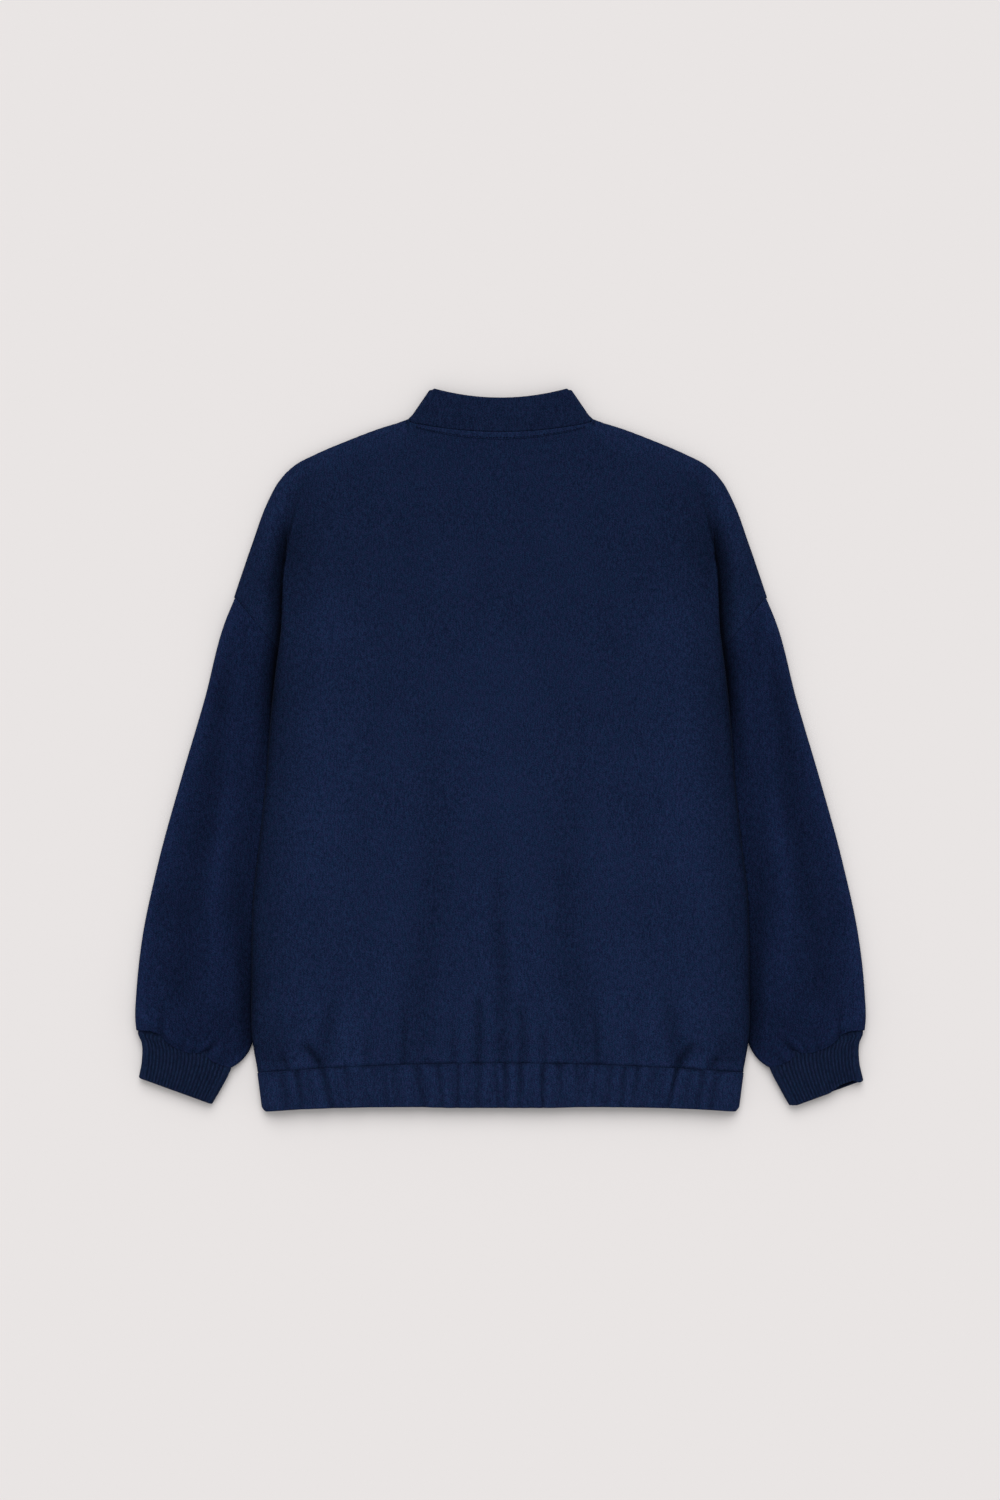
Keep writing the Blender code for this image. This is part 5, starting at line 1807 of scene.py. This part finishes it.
@dataclass
class NeckBand:
    """Topstitched strip under the collar seam."""

    flat: tuple[float, float] = (0.163, 0.0101)
    area: float = 0.0011
    thickness: float = 0.0012
    half: float = 0.0800
    width: float = 0.0068
    narrowing: float = 0.45
    clear: float = 0.0003
    rows: int = 7
    columns: int = 90
    stitch_points: int = 120
    stitch_place: float = 0.80

    def line(self, v: float, back: BackPanel, count: int, above: float) -> np.ndarray:
        """Points along the strip.

        Args:
            v: From 0 at its upper edge to 1 at its lower edge.
            back: The back, on which it lies.
            count: How many points the line gets.
            above: How far they lie above the back's cloth.

        Returns:
            Array of count points.
        """
        share = np.linspace(-1, 1, count)
        x = share * self.half
        width = self.width * (1 - self.narrowing * share**2)
        y = PLAN.neck_y(x) - PLAN.seam_gap / 2 - self.clear - v * width
        return np.column_stack([x, y, back.height(x, y) + PLAN.cloth / 2 + PLAN.seam_gap + above])

    def stitch_line(self, back: BackPanel) -> np.ndarray:
        """Path of the stitches along its lower edge."""
        return self.line(self.stitch_place, back, self.stitch_points, self.thickness)

    def dress(self, material: bpy.types.Material, back: BackPanel) -> bpy.types.Object:
        """Build the strip, attach it to the body and hide the solid that it replaces.

        Args:
            material: Its finish.
            back: The back, on which it lies.

        Returns:
            The piece.
        """
        rows = [self.line(v, back, self.columns, self.thickness / 2) for v in np.linspace(0, 1, self.rows)]
        wall = Wall(np.array(rows), self.thickness, lips=tuple(Edge))
        return dress_wall(wall, "neck_band_cloth", "neck_band", self.flat, material,
                          self.area)


@dataclass
class Placket:
    """Underlap strip behind the edges that meet at centre front."""

    half: float = 0.030
    height: float = 0.0050
    top_y: float = 0.262
    hem_y: float = -0.340
    rows: int = 90
    columns: int = 12

    def dress(self, material: bpy.types.Material) -> bpy.types.Object:
        """Build the strip, attach it to the body and hide the solid that it replaces.

        Args:
            material: Its finish.

        Returns:
            The piece.
        """
        y, x = np.meshgrid(np.linspace(self.top_y, self.hem_y, self.rows),
                           np.linspace(-self.half, self.half, self.columns), indexing="ij")
        wall = Wall(np.stack([x, y, np.full_like(x, self.height)], axis=-1), PLAN.cloth, lips=tuple(Edge))
        flat = (2 * self.half, self.top_y - self.hem_y)
        return dress_wall(wall, "placket_cloth", "placket", flat, material)


@dataclass
class Stitching:
    """Row of stitches along a path, made by a Geometry Nodes tree."""

    name: str
    path: np.ndarray
    pitch: float = 0.0032
    length: float = 0.0022
    radius: float = 0.00022
    sides: int = 8

    def tree(self, material: bpy.types.Material) -> bpy.types.NodeTree:
        """Tree that lays one stitch at each step of the path.

        Args:
            material: The thread's finish.

        Returns:
            The node tree.
        """
        tree = bpy.data.node_groups.new(self.name + "_stitches", "GeometryNodeTree")
        tree.interface.new_socket("Geometry", in_out="INPUT", socket_type="NodeSocketGeometry")
        tree.interface.new_socket("Geometry", in_out="OUTPUT", socket_type="NodeSocketGeometry")
        for label in ("Pitch", "Length", "Radius"):
            tree.interface.new_socket(label, in_out="INPUT", socket_type="NodeSocketFloat")
        kinds = {"source": "NodeGroupInput", "sink": "NodeGroupOutput", "curve": "GeometryNodeMeshToCurve",
                 "even": "GeometryNodeResampleCurve", "tangent": "GeometryNodeInputTangent",
                 "align": "FunctionNodeAlignRotationToVector", "stitch": "GeometryNodeMeshCylinder",
                 "place": "GeometryNodeInstanceOnPoints", "realize": "GeometryNodeRealizeInstances",
                 "finish": "GeometryNodeSetMaterial"}
        n = {key: tree.nodes.new(kind) for key, kind in kinds.items()}
        n["even"].mode = "LENGTH"
        n["align"].axis = "Z"
        n["stitch"].inputs["Vertices"].default_value = self.sides
        n["finish"].inputs["Material"].default_value = material
        links = [("source", "Geometry", "curve", "Mesh"), ("curve", "Curve", "even", "Curve"),
                 ("source", "Pitch", "even", "Length"), ("source", "Length", "stitch", "Depth"),
                 ("source", "Radius", "stitch", "Radius"), ("tangent", "Tangent", "align", "Vector"),
                 ("even", "Curve", "place", "Points"), ("stitch", "Mesh", "place", "Instance"),
                 ("align", "Rotation", "place", "Rotation"), ("place", "Instances", "realize", "Geometry"),
                 ("realize", "Geometry", "finish", "Geometry"), ("finish", "Geometry", "sink", "Geometry")]
        for a, out, b, into in links:
            tree.links.new(n[a].outputs[out], n[b].inputs[into])
        return tree

    def dress(self, material: bpy.types.Material, slot: Slot) -> bpy.types.Object:
        """Build the stitches as a plain mesh and let them ride on the jacket.

        Args:
            material: The thread's finish.
            slot: The record's material slot; not used.

        Returns:
            The piece.
        """
        mesh = bpy.data.meshes.new(self.name + "_path")
        mesh.from_pydata(self.path.tolist(), [(k, k + 1) for k in range(len(self.path) - 1)], [])
        guide = bpy.data.objects.new(self.name + "_path", mesh)
        bpy.context.collection.objects.link(guide)
        modifier = guide.modifiers.new("stitches", "NODES")
        tree = self.tree(material)
        modifier.node_group = tree
        sizes = {"Pitch": self.pitch, "Length": self.length, "Radius": self.radius}
        for item in tree.interface.items_tree:
            if item.in_out == "INPUT" and item.name in sizes:
                modifier[item.identifier] = sizes[item.name]
        evaluated = guide.evaluated_get(bpy.context.evaluated_depsgraph_get())
        plain = bpy.data.meshes.new_from_object(evaluated)
        bpy.data.objects.remove(guide, do_unlink=True)
        plain.name = self.name
        plain.shade_smooth()
        piece = bpy.data.objects.new(self.name, plain)
        bpy.context.collection.objects.link(piece)
        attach(piece, BODY)
        log.info("%s: %d faces", piece.name, len(plain.polygons))
        return piece


# Surroundings --------------------------------------------------------------------------------

@dataclass
class Studio:
    """Pale floor, soft light from the collar's side and a camera straight above."""

    picture: tuple[int, int] = (1000, 1500)
    metres_a_pixel: float = 0.00096
    lens: float = 85.0
    sensor: float = 36.0
    focus_height: float = 0.010
    floor_colour: tuple[float, float, float] = (0.815, 0.783, 0.776)
    key_strength: float = 1.64
    key_breadth: float = 50.0
    key_height: float = 50.0
    key_turn: float = 0.0
    sky_strength: float = 0.60
    floor_reach: float = 30.0
    floor_drop: float = 0.0004
    floor_roughness: float = 0.95
    floor_specular: float = 0.1

    def floor(self) -> None:
        """Large plain floor just under the jacket."""
        mesh = bpy.data.meshes.new("floor")
        corners = ((-1, -1), (1, -1), (1, 1), (-1, 1))
        reach = self.floor_reach
        mesh.from_pydata([(x * reach, y * reach, -self.floor_drop) for x, y in corners], [], [(0, 1, 2, 3)])
        paint = bpy.data.materials.new("floor")
        paint.use_nodes = True
        shader = paint.node_tree.nodes["Principled BSDF"]
        shader.inputs["Base Color"].default_value = (*self.floor_colour, 1.0)
        shader.inputs["Roughness"].default_value = self.floor_roughness
        shader.inputs["Specular IOR Level"].default_value = self.floor_specular
        mesh.materials.append(paint)
        floor = bpy.data.objects.new("floor", mesh)
        bpy.context.collection.objects.link(floor)

    def sun(self) -> None:
        """Broad soft light from above the collar."""
        lamp = bpy.data.lights.new("key", "SUN")
        lamp.energy, lamp.angle = self.key_strength, math.radians(self.key_breadth)
        thing = bpy.data.objects.new("key", lamp)
        thing.rotation_euler = (math.radians(self.key_height - 90.0), 0.0, math.radians(self.key_turn))
        thing.location = (0.0, 1.5, 1.5)
        bpy.context.collection.objects.link(thing)

    def build(self) -> None:
        """Make the floor, the lights, the sky and the camera."""
        self.floor()
        self.sun()
        world = bpy.data.worlds.new("studio")
        world.use_nodes = True
        background = world.node_tree.nodes["Background"]
        background.inputs["Color"].default_value = (1.0, 1.0, 1.0, 1.0)
        background.inputs["Strength"].default_value = self.sky_strength
        bpy.context.scene.world = world
        bpy.context.scene.view_settings.view_transform = "Standard"
        data = bpy.data.cameras.new("camera")
        data.lens, data.sensor_width = self.lens, self.sensor
        camera = bpy.data.objects.new("camera", data)
        distance = self.picture[1] * self.metres_a_pixel * self.lens / self.sensor
        half_pixel = self.metres_a_pixel / 2
        camera.location = (-half_pixel, -half_pixel, self.focus_height + distance)
        bpy.context.collection.objects.link(camera)
        bpy.context.scene.camera = camera


def main() -> None:
    """Build the jacket piece by piece, then its surroundings."""
    logging.basicConfig(level=logging.INFO, format="%(name)s: %(message)s")
    wool, shaded_sleeve_wool = WOOL.material(), SHADED_SLEEVE_WOOL.material()
    knit, thread = RIB_KNIT.material(), THREAD.material()
    for side in Side:
        FrontPanel(side).dress(wool)
    back = BackPanel()
    back.dress(wool)
    for side in Side:
        Sleeve(side).dress(shaded_sleeve_wool)
        Cuff(side).dress(knit)
    Waistband().dress(wool)
    Collar().dress(wool)
    band = NeckBand()
    band.dress(wool, back)
    Placket().dress(wool)
    Stitching("neck_stitches", band.stitch_line(back)).dress(thread, Slot.WOOL)
    Studio().build()


if __name__ == "__main__":
    main()
